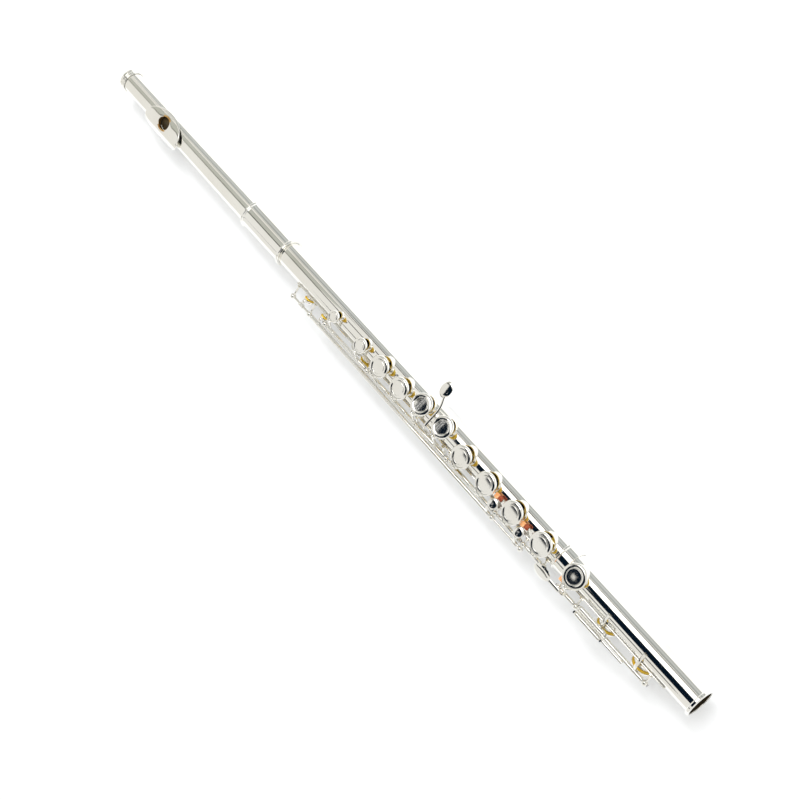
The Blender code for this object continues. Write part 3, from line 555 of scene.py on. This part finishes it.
def blow_hole_plug():
    plug = spin([(0, 0), (0.5, 0), (0.5, LIP_R + MM), (0, LIP_R + MM)], CUP_STEPS)
    bmesh.ops.scale(plug, vec=(*BLOW_HOLE, 1.0), verts=plug.verts)
    return shift(plug, (BLOW_HOLE_X, 0, 0))


def lip_plate():
    """Loops from the blow hole's edge out to the plate's outline, wrapped round and thickened."""
    loops = 14
    bm = bmesh.new()
    bmesh.ops.create_circle(bm, cap_ends=False, segments=96, radius=1.0)
    edges = list(bm.edges)
    rings = [list(bm.verts)]
    for _ in range(loops):
        grown = bmesh.ops.extrude_edge_only(bm, edges=edges)["geom"]
        rings.append([g for g in grown if isinstance(g, bmesh.types.BMVert)])
        edges = [g for g in grown if isinstance(g, bmesh.types.BMEdge)]
    hole_turn = math.degrees(BLOW_HOLE[1] / 2 / (LIP_R - LIP_DROP))
    for number, ring in enumerate(rings):
        t = number / loops
        length = BLOW_HOLE[0] / 2 + t * (LIP_LENGTH - BLOW_HOLE[0]) / 2
        reach = hole_turn + t * (LIP_SPREAD - hole_turn)
        centre = t ** 1.2 * LIP_TURN
        for vert in ring:
            c, s = vert.co.x, vert.co.y
            angle = math.radians(centre - s * reach)
            edge = max(0.0, t - 0.75) / 0.25
            radius = LIP_R - LIP_THICK / 2 - 0.25 * MM * edge ** 2
            lip = 0.25 * MM * max(0.0, 1.0 - t * 6)
            radius -= lip
            vert.co = (BLOW_HOLE_X + c * length, -math.sin(angle) * radius,
                       math.cos(angle) * radius - LIP_DROP)
    bmesh.ops.recalc_face_normals(bm, faces=bm.faces)
    made = place(bm, "lip_plate_skin", HEAD_SILVER, "headjoint", ["lip_plate"], sharp=60.0)
    wall = made.modifiers.new("thickness", "SOLIDIFY")
    wall.thickness = LIP_THICK - 0.1 * MM
    wall.offset = 0.0
    edge = made.modifiers.new("soft edge", "BEVEL")
    edge.width = 0.3 * MM
    edge.segments = 3
    edge.limit_method = "ANGLE"
    edge.angle_limit = math.radians(50)

    bm = spin([(0.5, 0), (0.5, 1), (0.62, 1), (0.62, 0)], 96, True)
    low = 8.6 * MM
    high = LIP_R - LIP_DROP - LIP_THICK - 0.05 * MM
    bmesh.ops.scale(bm, vec=(*BLOW_HOLE, high - low), verts=bm.verts)
    shift(bm, (BLOW_HOLE_X, 0, low))
    place(bm, "riser_wall", GILT, "headjoint", ["riser"])
    # A sheet of painted shade lines the head's bore round the blow hole.
    lining("head_lining", BLOW_HOLE_X - 16 * MM, BLOW_HOLE_X + 20 * MM, CROWN_TUBE_R - TUBE_WALL,
           "headjoint")


def lining(name, start, end, radius, body):
    """A sheet of painted shade just inside the wall: the dull, dark inside of a bore, where it can be seen.
    """
    r = radius - 0.04 * MM
    profile = [(r, start), (r, end), (r - 0.1 * MM, end), (r - 0.1 * MM, start)]
    place(spin_x(profile, TUBE_STEPS, True), name, BORE_SHADE, body)


def crown():
    start, end = along("crown")
    r = CROWN_R
    corners = [(0, start), (r - 1.4 * MM, start), (r - 0.4 * MM, start + 0.3 * MM), (r, start + 0.9 * MM),
               (r, end - 1.4 * MM), (r - 0.8 * MM, end - 0.9 * MM), (r - 0.8 * MM, end), (0, end)]
    place(spin_x(rounded(corners, 0.35 * MM, 4, closed=False), TUBE_STEPS), "crown_cap", HEAD_SILVER,
          "crown", ["crown"])


def stopper():
    for node, material, name in (("stopper_plate", BODY_SILVER, "reflector_plate"),
                                 ("stopper_cork", CORK, "stopper_plug"),
                                 ("stopper_nut", BODY_SILVER, "stopper_nut_disc"),
                                 ("stopper_screw", STEEL, "stopper_rod")):
        start, end = along(node)
        low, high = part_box(node)
        radius = (high[1] - low[1]) / 2
        solid = cylinder(start, end, radius, (0, 0), 0.2 * MM, 64)
        place(solid, name, material, "stopper", [node], slot="cork" if material == CORK else "silver")


def barrel():
    start, end = along("barrel")
    inner = TUBE_R + 0.1 * MM
    outer = TUBE_R + GAP + BARREL_WALL
    high = outer + 1.2 * MM
    ring = 2.4 * MM
    corners = [(inner, start, 0.1 * MM), (high - 0.3 * MM, start, 0.4 * MM),
               (high, start + 0.6 * MM, 0.5 * MM), (high, start + ring - 0.6 * MM, 0.5 * MM),
               (outer + 0.1 * MM, start + ring, 0.15 * MM), (outer, start + ring + 0.6 * MM, 0.15 * MM),
               (outer, end - ring - 0.6 * MM, 0.15 * MM), (outer + 0.1 * MM, end - ring, 0.15 * MM),
               (high, end - ring + 0.6 * MM, 0.5 * MM),
               (high, end - 0.6 * MM, 0.5 * MM), (high - 0.3 * MM, end, 0.4 * MM), (inner, end, 0.1 * MM)]
    place(spin_x(rounded(corners, 0.2 * MM, 4), TUBE_STEPS, True), "barrel_sleeve", BODY_SILVER, "body",
          ["barrel"])


def foot_rings():
    start, end = along("foot_socket")
    inner = TUBE_R + 0.1 * MM
    outer = TUBE_R + GAP + BARREL_WALL
    high = outer + 1.2 * MM
    ring = 2.2 * MM
    corners = [(inner, start, 0.1 * MM), (high - 0.3 * MM, start, 0.4 * MM),
               (high, start + 0.6 * MM, 0.5 * MM), (high, start + ring - 0.6 * MM, 0.5 * MM),
               (outer, start + ring, 0.15 * MM), (outer, end - 0.2 * MM, 0.15 * MM), (inner, end, 0.1 * MM)]
    place(spin_x(rounded(corners, 0.2 * MM, 4), TUBE_STEPS, True), "foot_socket_sleeve", BODY_SILVER,
          "footjoint",
          ["foot_socket"])

    start, end = along("foot_end_ring")
    high = TUBE_R + GAP + 1.3 * MM
    corners = [(inner, start, 0.1 * MM), (high - 0.6 * MM, start, 0.3 * MM),
               (high, start + 0.7 * MM, 0.5 * MM), (high, end - 0.7 * MM, 0.5 * MM),
               (high - 0.5 * MM, end, 0.3 * MM), (inner, end, 0.1 * MM)]
    place(spin_x(rounded(corners, 0.2 * MM, 4), TUBE_STEPS, True), "foot_end_bead", BODY_SILVER,
          "footjoint",
          ["foot_end_ring"])


# ================================================================ ribs, posts and axles
def post(x, line, angle):
    """A ball on a waisted stem with a small foot on its rib."""
    radius = TUBE_R + GAP + RIB_THICK
    a = math.radians(angle)
    base = Vector((x, -radius * math.sin(a), radius * math.cos(a)))
    centre = Vector((x, *line))
    height = (centre - base).length
    stem = spin(rounded([(0, -0.2 * MM), (1.6 * MM, -0.2 * MM), (1.5 * MM, 0.25 * MM),
                         (POST_STEM_R, 0.6 * MM), (POST_STEM_R * 0.9, height * 0.5),
                         (POST_STEM_R * 1.1, height - 1.8 * MM), (0, height - 1.6 * MM)],
                        0.3 * MM, closed=False), 28)
    bmesh.ops.rotate(stem, cent=(0, 0, 0), matrix=(centre - base).to_track_quat("Z", "Y").to_matrix(),
                     verts=stem.verts)
    return [shift(stem, base), ball(centre, POST_BALL_R)]


def rib(node, angle, posts, body):
    start, end = along(node)
    base = TUBE_R + 0.15 * MM
    strip = bmesh.new()
    bmesh.ops.create_cube(strip, size=1.0)
    bmesh.ops.scale(strip, vec=(end - start, RIB_WIDTH, RIB_THICK), verts=strip.verts)
    bmesh.ops.bevel(strip, geom=strip.edges, offset=0.35 * MM, segments=3, affect="EDGES", profile=0.5,
                    material=-1)
    shift(strip, ((start + end) / 2, 0, base + RIB_THICK / 2))
    solids = [turn(strip, angle)]
    for x, line in posts:
        solids += post(x, line, angle)
    place(merge(solids), f"{node}_and_posts", KEY_SILVER, body, [node])


def screw(x, line, facing):
    """A pivot screw's head in a post's ball."""
    head = spin_x(rounded([(0, 0), (AXLE_R * 1.15, 0), (AXLE_R * 1.15, 0.5 * MM), (0.0, 0.7 * MM)],
                          0.12 * MM, closed=False), 24)
    if facing < 0:
        turn(head, 180.0, axis="Z")
    return shift(head, (x + facing * (POST_BALL_R - 0.15 * MM), *line))


def axle(node, line, body):
    start, end = along(node)
    solids = [cylinder(start, end, AXLE_R, line), screw(start + 2.2 * MM, line, -1),
              screw(end - 2.2 * MM, line, 1)]
    place(merge(solids), f"{node}_steel", STEEL, body, [node], slot="steel")


# ================================================================ keys
def cup_shell(cup):
    """A cup: a flat middle, a fine groove, a raised ring, a rounded shoulder, a wall, a hollow."""
    angle, r = CUPS[cup]
    top = CUP_TOP
    floor = CUP_TOP - CUP_DISH
    ceiling = floor - CUP_CEILING
    step = 0.12 * MM
    corners = [(0, floor + step), (0.57 * r, floor + step, 0.05 * MM), (0.59 * r, floor, 0.03 * MM),
               (0.63 * r, floor, 0.03 * MM), (0.65 * r, floor + step, 0.05 * MM),
               (0.76 * r, top - 0.1 * MM, 0.2 * MM), (0.88 * r, top - 0.25 * MM, 0.6 * MM),
               (r - 0.1 * MM, top - 0.9 * MM, 0.5 * MM), (r, CUP_LOWER_EDGE + 0.4 * MM, 0.3 * MM),
               (r, CUP_LOWER_EDGE, 0.12 * MM), (r - CUP_WALL, CUP_LOWER_EDGE, 0.12 * MM),
               (r - CUP_WALL, ceiling, 0.1 * MM), (0, ceiling)]
    bm = spin(rounded(corners, 0.1 * MM, 3, closed=False), CUP_STEPS)
    return turn(shift(bm, (CUP_X[cup], 0, SEAT_R)), angle)


def pad(cup, key_name):
    """A puffed pad whose skin shows under the cup's edge."""
    line, open_angle, _ = KEYS[key_name]
    angle, radius = CUPS[cup]
    r = radius - CUP_WALL - 0.1 * MM
    high = CUP_TOP - CUP_DISH - CUP_CEILING - 0.1 * MM
    corners = [(0, GAP + 0.12 * MM), (r * 0.55, GAP + 0.1 * MM, 0.3 * MM), (r - 1.0 * MM, GAP, 0.6 * MM),
               (r + 0.1 * MM, GAP + 0.5 * MM, 0.4 * MM),
               (r + 0.1 * MM, CUP_LOWER_EDGE, 0.1 * MM), (r - 0.1 * MM, high, 0.2 * MM), (0, high)]
    bm = spin(rounded(corners, 0.2 * MM, 4, closed=False), CUP_STEPS)
    turn(shift(bm, (CUP_X[cup], 0, SEAT_R)), angle)
    turn(bm, open_angle, (0, *line))
    place(bm, f"{cup}_pad_skin", SKIN, key_name, [f"{cup}_pad"], slot="skin")


def forked_arm(cup, line):
    """A Y-shaped arm, its two prongs lying over a cup's near edge."""
    radius = CUPS[cup][1]
    foot = Vector((CUP_X[cup], line[0], line[1] + 0.4 * MM))
    fork = on_cup(cup, 0, -radius - 1.6 * MM, CUP_LOWER_EDGE + 0.6 * MM)
    spread = PRONG_SPREAD * radius
    solids = []
    for side in (-1, 1):
        knee = fork.lerp(on_cup(cup, side * spread, -0.78 * radius, CUP_TOP - 0.3 * MM), 0.45)
        knee += Vector((0, 0, 0.25 * MM))
        tip = on_cup(cup, side * spread, -0.78 * radius, CUP_TOP - 0.35 * MM)
        start = foot + Vector((side * 0.35 * MM, 0, 0))
        solids.append(sweep([start, fork + Vector((side * 0.4 * MM, 0, 0)), knee, tip], ARM_WIDTH * 0.85,
                            ARM_THICK,
                            PRONG_WIDTH * 0.8))
    return solids


def plain_arm(cup, line, side=-1):
    radius = CUPS[cup][1]
    height = CUP_TOP - 0.7 * MM
    return [sweep([Vector((CUP_X[cup], *line)), on_cup(cup, 0, side * (radius + MM), height),
                   on_cup(cup, 0, side * 0.85 * radius, height)], ARM_WIDTH, ARM_THICK, ARM_WIDTH * 0.8)]


def hinge_tube(start, end, line):
    """A hinge tube with a fine bead turned at each end."""
    bead = 0.25 * MM
    r = HINGE_R
    corners = [(AXLE_R + 0.1 * MM, start), (r, start), (r, start + 0.7 * MM),
               (r - bead * 0.6, start + 0.8 * MM), (r - bead * 0.6, start + 1.0 * MM),
               (r - bead * 0.3, start + 1.1 * MM), (r - bead * 0.3, end - 1.1 * MM),
               (r - bead * 0.6, end - 1.0 * MM), (r - bead * 0.6, end - 0.8 * MM),
               (r, end - 0.7 * MM), (r, end), (AXLE_R + 0.1 * MM, end)]
    return shift(spin_x(rounded(corners, 0.08 * MM, 2), ROD_STEPS, True), (0, *line))


def collar(x, line):
    """The saddle where an arm is soldered round its hinge tube."""
    r = HINGE_R
    corners = [(r - 0.3 * MM, -1.9 * MM), (r + 0.05 * MM, -1.8 * MM), (r + 0.05 * MM, 1.8 * MM),
               (r - 0.3 * MM, 1.9 * MM)]
    return shift(spin_x(rounded(corners, 0.15 * MM, 3), ROD_STEPS, True), (x, *line))


def key_piece(key_name, tubes, arms):
    line, open_angle, cups = KEYS[key_name]
    solids = [hinge_tube(start, end, line) for start, end in tubes]
    solids += arms + [cup_shell(cup) for cup in cups]
    whole = turn(merge(solids), open_angle, (0, *line))
    place(whole, f"{key_name}_key_work", KEY_SILVER, key_name, [f"{key_name}_key"])
    for cup in cups:
        pad(cup, key_name)


def between(posts, first, last):
    clear = POST_BALL_R + GAP
    return posts[first] + clear, posts[last] - clear


def split(span, *places):
    half = 0.2 * MM
    starts = [span[0]] + [p + half for p in places]
    ends = [p - half for p in places] + [span[1]]
    return list(zip(starts, ends))


def main_keys():
    arms = plain_arm("c_sharp", MAIN_LINE) + plain_arm("c", MAIN_LINE)
    arms += [collar(CUP_X["c_sharp"], MAIN_LINE), collar(CUP_X["c"], MAIN_LINE)]
    key_piece("c", [between(MAIN_POSTS, 0, 1)], arms)
    after_b = (CUP_X["b_flat"] + CUP_X["a"]) / 2
    after_a = (CUP_X["a"] + CUP_X["upper_g"]) / 2
    after_f_sharp = (CUP_X["f_sharp"] + CUP_X["f"]) / 2
    spans = split(between(MAIN_POSTS, 1, 2), after_b, after_a)
    spans += split(between(MAIN_POSTS, 2, 3), after_f_sharp)
    spans += [between(MAIN_POSTS, 3, 4), between(MAIN_POSTS, 4, 5)]
    for key_name, span in zip(("b_flat", "a", "g", "f_sharp", "f", "e", "d"), spans):
        arms = []
        for cup in KEYS[key_name][2]:
            arms += forked_arm(cup, MAIN_LINE)
            arms.append(collar(CUP_X[cup], MAIN_LINE))
        if key_name == "f_sharp":
            arms += clutch_plate(CUP_X["f_sharp"] + ARM_WIDTH * 1.2)
        key_piece(key_name, [span], arms)


def clutch_plate(x):
    """The small plate that stands on a hinge tube."""
    y, z = MAIN_LINE
    plate = sweep([(x, y, z + 0.6 * HINGE_R), (x, y + 1.2 * MM, z + 1.5 * HINGE_R),
                   (x, y + 2.4 * MM, z + 2.2 * HINGE_R)], 7.0 * MM, ARM_THICK)
    return [plate]


def block(centre, size, edge=0.3 * MM):
    bm = bmesh.new()
    bmesh.ops.create_cube(bm, size=1.0)
    bmesh.ops.scale(bm, vec=size, verts=bm.verts)
    bmesh.ops.bevel(bm, geom=bm.edges, offset=edge, segments=2, affect="EDGES", profile=0.5, material=-1)
    return shift(bm, centre)


def trill_trimmings(name, x):
    """The cork bumpers at a trill touch's inner edge, and the dark screw let into it."""
    y, z = TRILL_TOUCH_PLACE
    bumper = (3.3 * MM, 3.6 * MM, 1.8 * MM)
    place(block((x - 1.7 * MM, y + 6.0 * MM, z - 0.8 * MM), bumper), f"{name}_bumper", CORK, name,
          slot="cork")
    place(block((x + 1.8 * MM, y + 6.5 * MM, z - 0.9 * MM), bumper), f"{name}_red_bumper", RED_CORK, name,
          slot="cork")
    dot = spin(rounded([(0, 0.9 * MM), (0.9 * MM, 0.9 * MM), (0.9 * MM, 0), (0, 0)], 0.2 * MM,
                       closed=False), 24)
    place(shift(dot, (x, y, z + 0.4 * MM)), f"{name}_touch_screw", STEEL, name, slot="steel")


def trill_arm(x, foot_x):
    y, z = TRILL_LINE
    touch = Vector((x, *TRILL_TOUCH_PLACE))
    shoulder = Vector((foot_x, y + 2.6 * MM, z + 4.9 * MM))
    return [sweep([(foot_x, y, z), shoulder, touch], ARM_WIDTH, ARM_THICK),
            oval_touch(touch, TRILL_TOUCH, TRILL_TOUCH_TILT), collar(foot_x, TRILL_LINE)]


def trill_keys():
    x = (CUP_X["f"] + CUP_X["e"]) / 2 - 1.6 * MM
    start = TRILL_POSTS[1] + POST_BALL_R + GAP
    end = TRILL_POSTS[2] - POST_BALL_R - GAP
    arms = plain_arm("trill_d", TRILL_LINE, 1) + trill_arm(x, end - ARM_WIDTH)
    arms.append(collar(CUP_X["trill_d"], TRILL_LINE))
    key_piece("trill_d", [(start, end)], arms)
    trill_trimmings("trill_d", x)

    x = (CUP_X["e"] + CUP_X["d"]) / 2 - 3.2 * MM
    arms = plain_arm("trill_d_sharp", TRILL_LINE, 1) + trill_arm(x, x)
    rod_start, rod_end = along("trill_d_sharp_key")
    arms.append(cylinder(rod_start, rod_end, AXLE_R, TRILL_LINE))
    hubs = [(place_x - 2 * MM, place_x + 2 * MM) for place_x in (CUP_X["trill_d_sharp"], x)]
    key_piece("trill_d_sharp", hubs, arms)
    trill_trimmings("trill_d_sharp", x)


def thumb_key():
    touch = on_cup("thumb_b", -THUMB_TOUCH_REACH, -MM, CUP_TOP + MM)
    arms = plain_arm("thumb_b", THUMB_LINE)
    arms.append(oval_touch(touch, THUMB_TOUCH, CUPS["thumb_b"][0]))
    arms.append(sweep([touch, on_cup("thumb_b", -8 * MM, -0.6 * MM, CUP_TOP + 0.4 * MM),
                       on_cup("thumb_b", -2 * MM, 0, CUP_TOP - 0.2 * MM)],
                      1.6 * MM, 1.3 * MM))
    key_piece("thumb", [between(THUMB_POSTS, 0, 1)], arms)


def g_sharp_key():
    x = (CUP_X["upper_g"] + CUP_X["lower_g"]) / 2
    height = G_SHARP_LEVER_HEIGHT
    touch = Vector(G_SHARP_TOUCH_PLACE)
    lever = [(x, *G_SHARP_LINE), (x, MAIN_LINE[0] + 2.8 * MM, MAIN_LINE[1]),
             (x, -8.2 * MM, height - 0.2 * MM), (x, 0, height),
             (x, 11.0 * MM, height), touch]
    arms = [sweep(lever, ARM_WIDTH, G_SHARP_LEVER_THICK, PRONG_WIDTH), oval_touch(touch, G_SHARP_TOUCH, 0.0)]
    arms += plain_arm("g_sharp", G_SHARP_LINE, 1)
    key_piece("g_sharp", [between(G_SHARP_POSTS, 0, 1)], arms)


def foot_keys():
    span = between(FOOT_POSTS, 0, 1)
    start = span[0] + ARM_WIDTH
    touch = Vector(E_FLAT_TOUCH_PLACE)
    arms = forked_arm("e_flat", FOOT_LINE)
    arms += [sweep([(start, *FOOT_LINE), (start, FOOT_LINE[0] - 0.6 * MM, FOOT_LINE[1] + 3.2 * MM), touch],
                   ARM_WIDTH, ARM_THICK),
             oval_touch(touch, E_FLAT_TOUCH, E_FLAT_TOUCH_TILT), collar(CUP_X["e_flat"], FOOT_LINE)]
    key_piece("e_flat", [span], arms)

    bumper = block((554.2 * MM, -9.6 * MM, 7.4 * MM), (4.2 * MM, 3.6 * MM, 3.2 * MM))
    place(bumper, "foot_bumper", CORK, "footjoint", slot="cork")

    middle_x = (CUP_X["low_c_sharp"] + CUP_X["low_c"]) / 2
    for key_name, span in zip(("low_c_sharp", "low_c"), split(between(FOOT_POSTS, 1, 2), middle_x)):
        x = CUP_X[key_name]
        arms = plain_arm(key_name, FOOT_LINE, 1) + [collar(x, FOOT_LINE)] + roller_fork(key_name)
        arms.append(sweep([(x, *spot) for spot in (FOOT_LINE, *STOP_TAIL)], ARM_WIDTH, ARM_THICK))
        key_piece(key_name, [span], arms)
        roller(key_name)


def roller_span(key_name):
    return along(f"{key_name}_roller")


def roller_fork(key_name):
    y, z = ROLLER_LINES[key_name]
    start, end = roller_span(key_name)
    clear = GAP + ARM_THICK / 2
    near, far = start - clear, end + clear
    wire = cylinder(near, far, ROLLER_WIRE_R, (y, z))
    if key_name == "low_c_sharp":
        return [wire] + [sweep([(x, *FOOT_LINE), (x, y, z)], ARM_THICK, 2.0 * MM, steps=2)
                         for x in (near, far)]
    reach = CUP_X["low_c"] - 8 * MM
    level = z - ROLLER_R - GAP - ARM_THICK / 2
    shelf = sweep([(near, y, level), (near + 5 * MM, y, level), (reach, y, level)], 1.6 * MM, ARM_THICK,
                  steps=2)
    lugs = [sweep([(x, y, level), (x, y, z + 0.7 * MM)], ARM_THICK, 2.0 * MM, steps=2) for x in (near, far)]
    bridge = sweep([(reach - MM, y, level), (reach - MM, *FOOT_LINE)], ARM_WIDTH, ARM_THICK, steps=2)
    return [wire, shelf, *lugs, bridge]


def roller(key_name):
    line = KEYS[key_name][0]
    start, end = roller_span(key_name)
    r = ROLLER_R
    hole = ROLLER_WIRE_R + 0.1 * MM
    corners = [(hole, start), (r * 0.8, start), (r * 0.97, start + 1.2 * MM, 0.8 * MM),
               (r, (start + end) / 2, 4 * MM),
               (r * 0.97, end - 1.2 * MM, 0.8 * MM), (r * 0.8, end), (hole, end)]
    bm = shift(spin_x(rounded(corners, 0.3 * MM, 3), ROD_STEPS, True), (0, *ROLLER_LINES[key_name]))
    turn(bm, KEYS[key_name][1], (0, *line))
    place(bm, f"{key_name}_roller_barrel", KEY_SILVER, f"{key_name}_roller", [f"{key_name}_roller"])


# ================================================================ setting
# Lamps and cards stand round the flute. A hung one spans some angles from straight up, towards the far
# side, at one height; a wall stands a distance off on the far side and spans angles the same way.
STUDIO = (0.86, 0.85, 0.82)
WALL_DISTANCE = 1.5
BLACK = (0.002, 0.007, 0.016)
WHITE = (1.0, 1.0, 1.0)
HUNG = 1.15                   # metres up, for the cards over the body and the foot
HEAD_HUNG = 1.30              # and for the card over the head, its lines just under it
HEAD_LINE_HUNG = 1.29
DISC_ANGLES = (-9.0, 6.0)
HEAD_SPAN = (-1.60, -0.55)
CARDS = (
    ("dark card", BLACK, (-34.0, 5.0), (-0.055, 1.40), HUNG),
    ("upper disc card", BLACK, DISC_ANGLES, (-0.165, -0.124), HUNG),
    ("upper disc light", WHITE, DISC_ANGLES, (-0.124, -0.105), HUNG),
    ("lower disc card", BLACK, DISC_ANGLES, (-0.105, -0.070), HUNG),
    ("lower disc light", WHITE, DISC_ANGLES, (-0.070, -0.055), HUNG),
    ("end cup light", STUDIO, (-21.6, -18.4), (0.205, 0.285), 1.14),
    ("upper card", (0.10, 0.10, 0.09), (-3.0, 4.0), (-0.70, -0.17), HUNG),
    ("near card", (0.03, 0.03, 0.025), (-60.0, -53.0), (-1.05, 0.60), HUNG),
    ("narrow card", (0.05, 0.055, 0.05), (41.0, 45.0), (-0.70, 0.80), HUNG),
    ("head card", (0.52, 0.53, 0.48), (-2.0, 32.0), HEAD_SPAN, HEAD_HUNG),
    ("head line", (0.28, 0.28, 0.25), (-3.5, 3.0), HEAD_SPAN, HEAD_LINE_HUNG),
    ("head far line", (0.38, 0.38, 0.35), (28.0, 32.0), HEAD_SPAN, HEAD_LINE_HUNG),
    ("head edge line", (0.55, 0.55, 0.52), (42.0, 47.0), HEAD_SPAN, HEAD_LINE_HUNG),
)


def setting():
    """A pale floor, a pale studio, soft lamps, and cards for the silver to reflect."""
    floor_mat, _, _ = new_material("floor", (0.93, 0.945, 0.97), 0.9, 0.0)
    bpy.ops.mesh.primitive_plane_add(size=8.0, location=(0, 0, 0))
    floor = bpy.context.object
    floor.name = "floor"
    floor.data.materials.append(floor_mat)

    world = bpy.data.worlds.new("studio")
    bpy.context.scene.world = world
    world.use_nodes = True
    background = world.node_tree.nodes["Background"]
    background.inputs["Color"].default_value = (*STUDIO, 1.0)
    background.inputs["Strength"].default_value = 1.0

    lamp("far lamp", (8.0, 34.0), (-0.30, 0.75), 1.6, 6.0)
    floor_lamp = lamp("floor lamp", (30.0, 50.0), (-0.70, 0.70), 1.5, 26.0)
    floor_lamp.visible_glossy = False

    for name, glow, angles, along_tube, height in CARDS:
        card(name, glow, angles, along_tube, height)
    wall("far wall", (0.47, 0.49, 0.48), (50.0, 86.0), (-1.40, 1.40), 0.0)
    wall("wall line", (0.22, 0.23, 0.22), (57.0, 59.0), (-1.40, 1.40), 0.01)
    wall("wall band", (0.62, 0.64, 0.63), (66.0, 76.0), (-1.40, 1.40), 0.01)


def span_over(angles, height):
    """The near and far edge, across the tube, of what hangs at a height over some angles."""
    return [ORIGIN.y + height * math.tan(math.radians(angle)) for angle in angles]


def lamp(name, angles, along_tube, height, energy):
    near, far = span_over(angles, height)
    data = bpy.data.lights.new(name, "AREA")
    data.shape = "RECTANGLE"
    data.size = along_tube[1] - along_tube[0]
    data.size_y = far - near
    data.energy = energy
    made = bpy.data.objects.new(name, data)
    made.location = (ORIGIN.x + sum(along_tube) / 2, (near + far) / 2, height)
    bpy.context.collection.objects.link(made)
    return made


def card(name, glow, angles, along_tube, height):
    near, far = span_over(angles, height)
    start, end = [ORIGIN.x + place_x for place_x in along_tube]
    reflected(name, glow, [(start, near, height), (end, near, height), (end, far, height),
                           (start, far, height)])


def wall(name, glow, angles, along_tube, forward):
    y = WALL_DISTANCE - forward
    high, low = [ORIGIN.z + y / math.tan(math.radians(angle)) for angle in angles]
    start, end = [ORIGIN.x + place_x for place_x in along_tube]
    y += ORIGIN.y
    reflected(name, glow, [(start, y, low), (end, y, low), (end, y, high), (start, y, high)])


def reflected(name, glow, corners):
    """A card of one even tone that only mirror reflections see."""
    made, _, shader = new_material(name, (0.0, 0.0, 0.0), 1.0, 0.0)
    shader.inputs["Specular IOR Level"].default_value = 0.0
    shader.inputs["Emission Color"].default_value = (*glow, 1.0)
    shader.inputs["Emission Strength"].default_value = 1.0
    bm = bmesh.new()
    bm.faces.new([bm.verts.new(corner) for corner in corners])
    mesh = bpy.data.meshes.new(name)
    bm.to_mesh(mesh)
    bm.free()
    mesh.materials.append(made)
    board = bpy.data.objects.new(name, mesh)
    bpy.context.collection.objects.link(board)
    board.visible_camera = False
    board.visible_diffuse = False
    board.visible_shadow = False
    board.visible_transmission = False


CAMERA_X = 813.67 * MM        # the camera's foot on the tube's line, past the open end
CAMERA_DISTANCE = 969.85 * MM
CAMERA_LEAN = 0.3472          # from straight up, towards the far side, in radians
CAMERA_TURNS = (0.0115, -0.4234, -0.8313)     # pitch, yaw, roll
CAMERA_LENS = 67.05


def camera():
    pitch, yaw, roll = CAMERA_TURNS
    lean = CAMERA_LEAN
    base = Matrix(((1, 0, 0), (0, math.cos(lean), -math.sin(lean)), (0, math.sin(lean), math.cos(lean))))
    rows = (Matrix.Rotation(roll, 3, "Z") @ Matrix.Rotation(pitch, 3, "X")
            @ Matrix.Rotation(yaw, 3, "Y") @ base)
    data = bpy.data.cameras.new("camera")
    data.lens = CAMERA_LENS
    data.sensor_width = 36.0
    data.clip_start = 0.01
    made = bpy.data.objects.new("camera", data)
    spot = Vector((CAMERA_X, CAMERA_DISTANCE * math.sin(lean), CAMERA_DISTANCE * math.cos(lean))) + ORIGIN
    made.matrix_world = Matrix.Translation(spot) @ rows.transposed().to_4x4()
    bpy.context.collection.objects.link(made)
    bpy.context.scene.camera = made


# ================================================================ the flute
headjoint()
lip_plate()
crown()
stopper()
barrel()
tube("body_tube", [cup for cup in CUPS if cup not in FOOT_CUPS], "body")
tube("foot_tube", FOOT_CUPS, "footjoint")
# A sheet of painted shade lines the foot's bore at its open end.
lining("foot_lining", CUP_X["low_c"] + 9 * MM, along("foot_tube")[1] - 0.2 * MM, TUBE_R - TUBE_WALL,
       "footjoint")
foot_rings()
rib("body_rib", RIB_ANGLE, [(x, MAIN_LINE) for x in MAIN_POSTS] + [(x, TRILL_LINE) for x in TRILL_POSTS]
    + [(x, G_SHARP_LINE) for x in G_SHARP_POSTS], "body")
rib("thumb_rib", THUMB_RIB_ANGLE, [(x, THUMB_LINE) for x in THUMB_POSTS], "body")
rib("foot_rib", RIB_ANGLE, [(x, FOOT_LINE) for x in FOOT_POSTS], "footjoint")
for axle_node, axle_line, axle_body in (("upper_axle", MAIN_LINE, "body"),
                                        ("lower_axle", MAIN_LINE, "body"),
                                        ("thumb_axle", THUMB_LINE, "body"),
                                        ("g_sharp_axle", G_SHARP_LINE, "body"),
                                        ("foot_axle", FOOT_LINE, "footjoint")):
    axle(axle_node, axle_line, axle_body)
main_keys()
trill_keys()
thumb_key()
g_sharp_key()
foot_keys()
setting()
camera()
bpy.context.scene.view_settings.view_transform = "Standard"
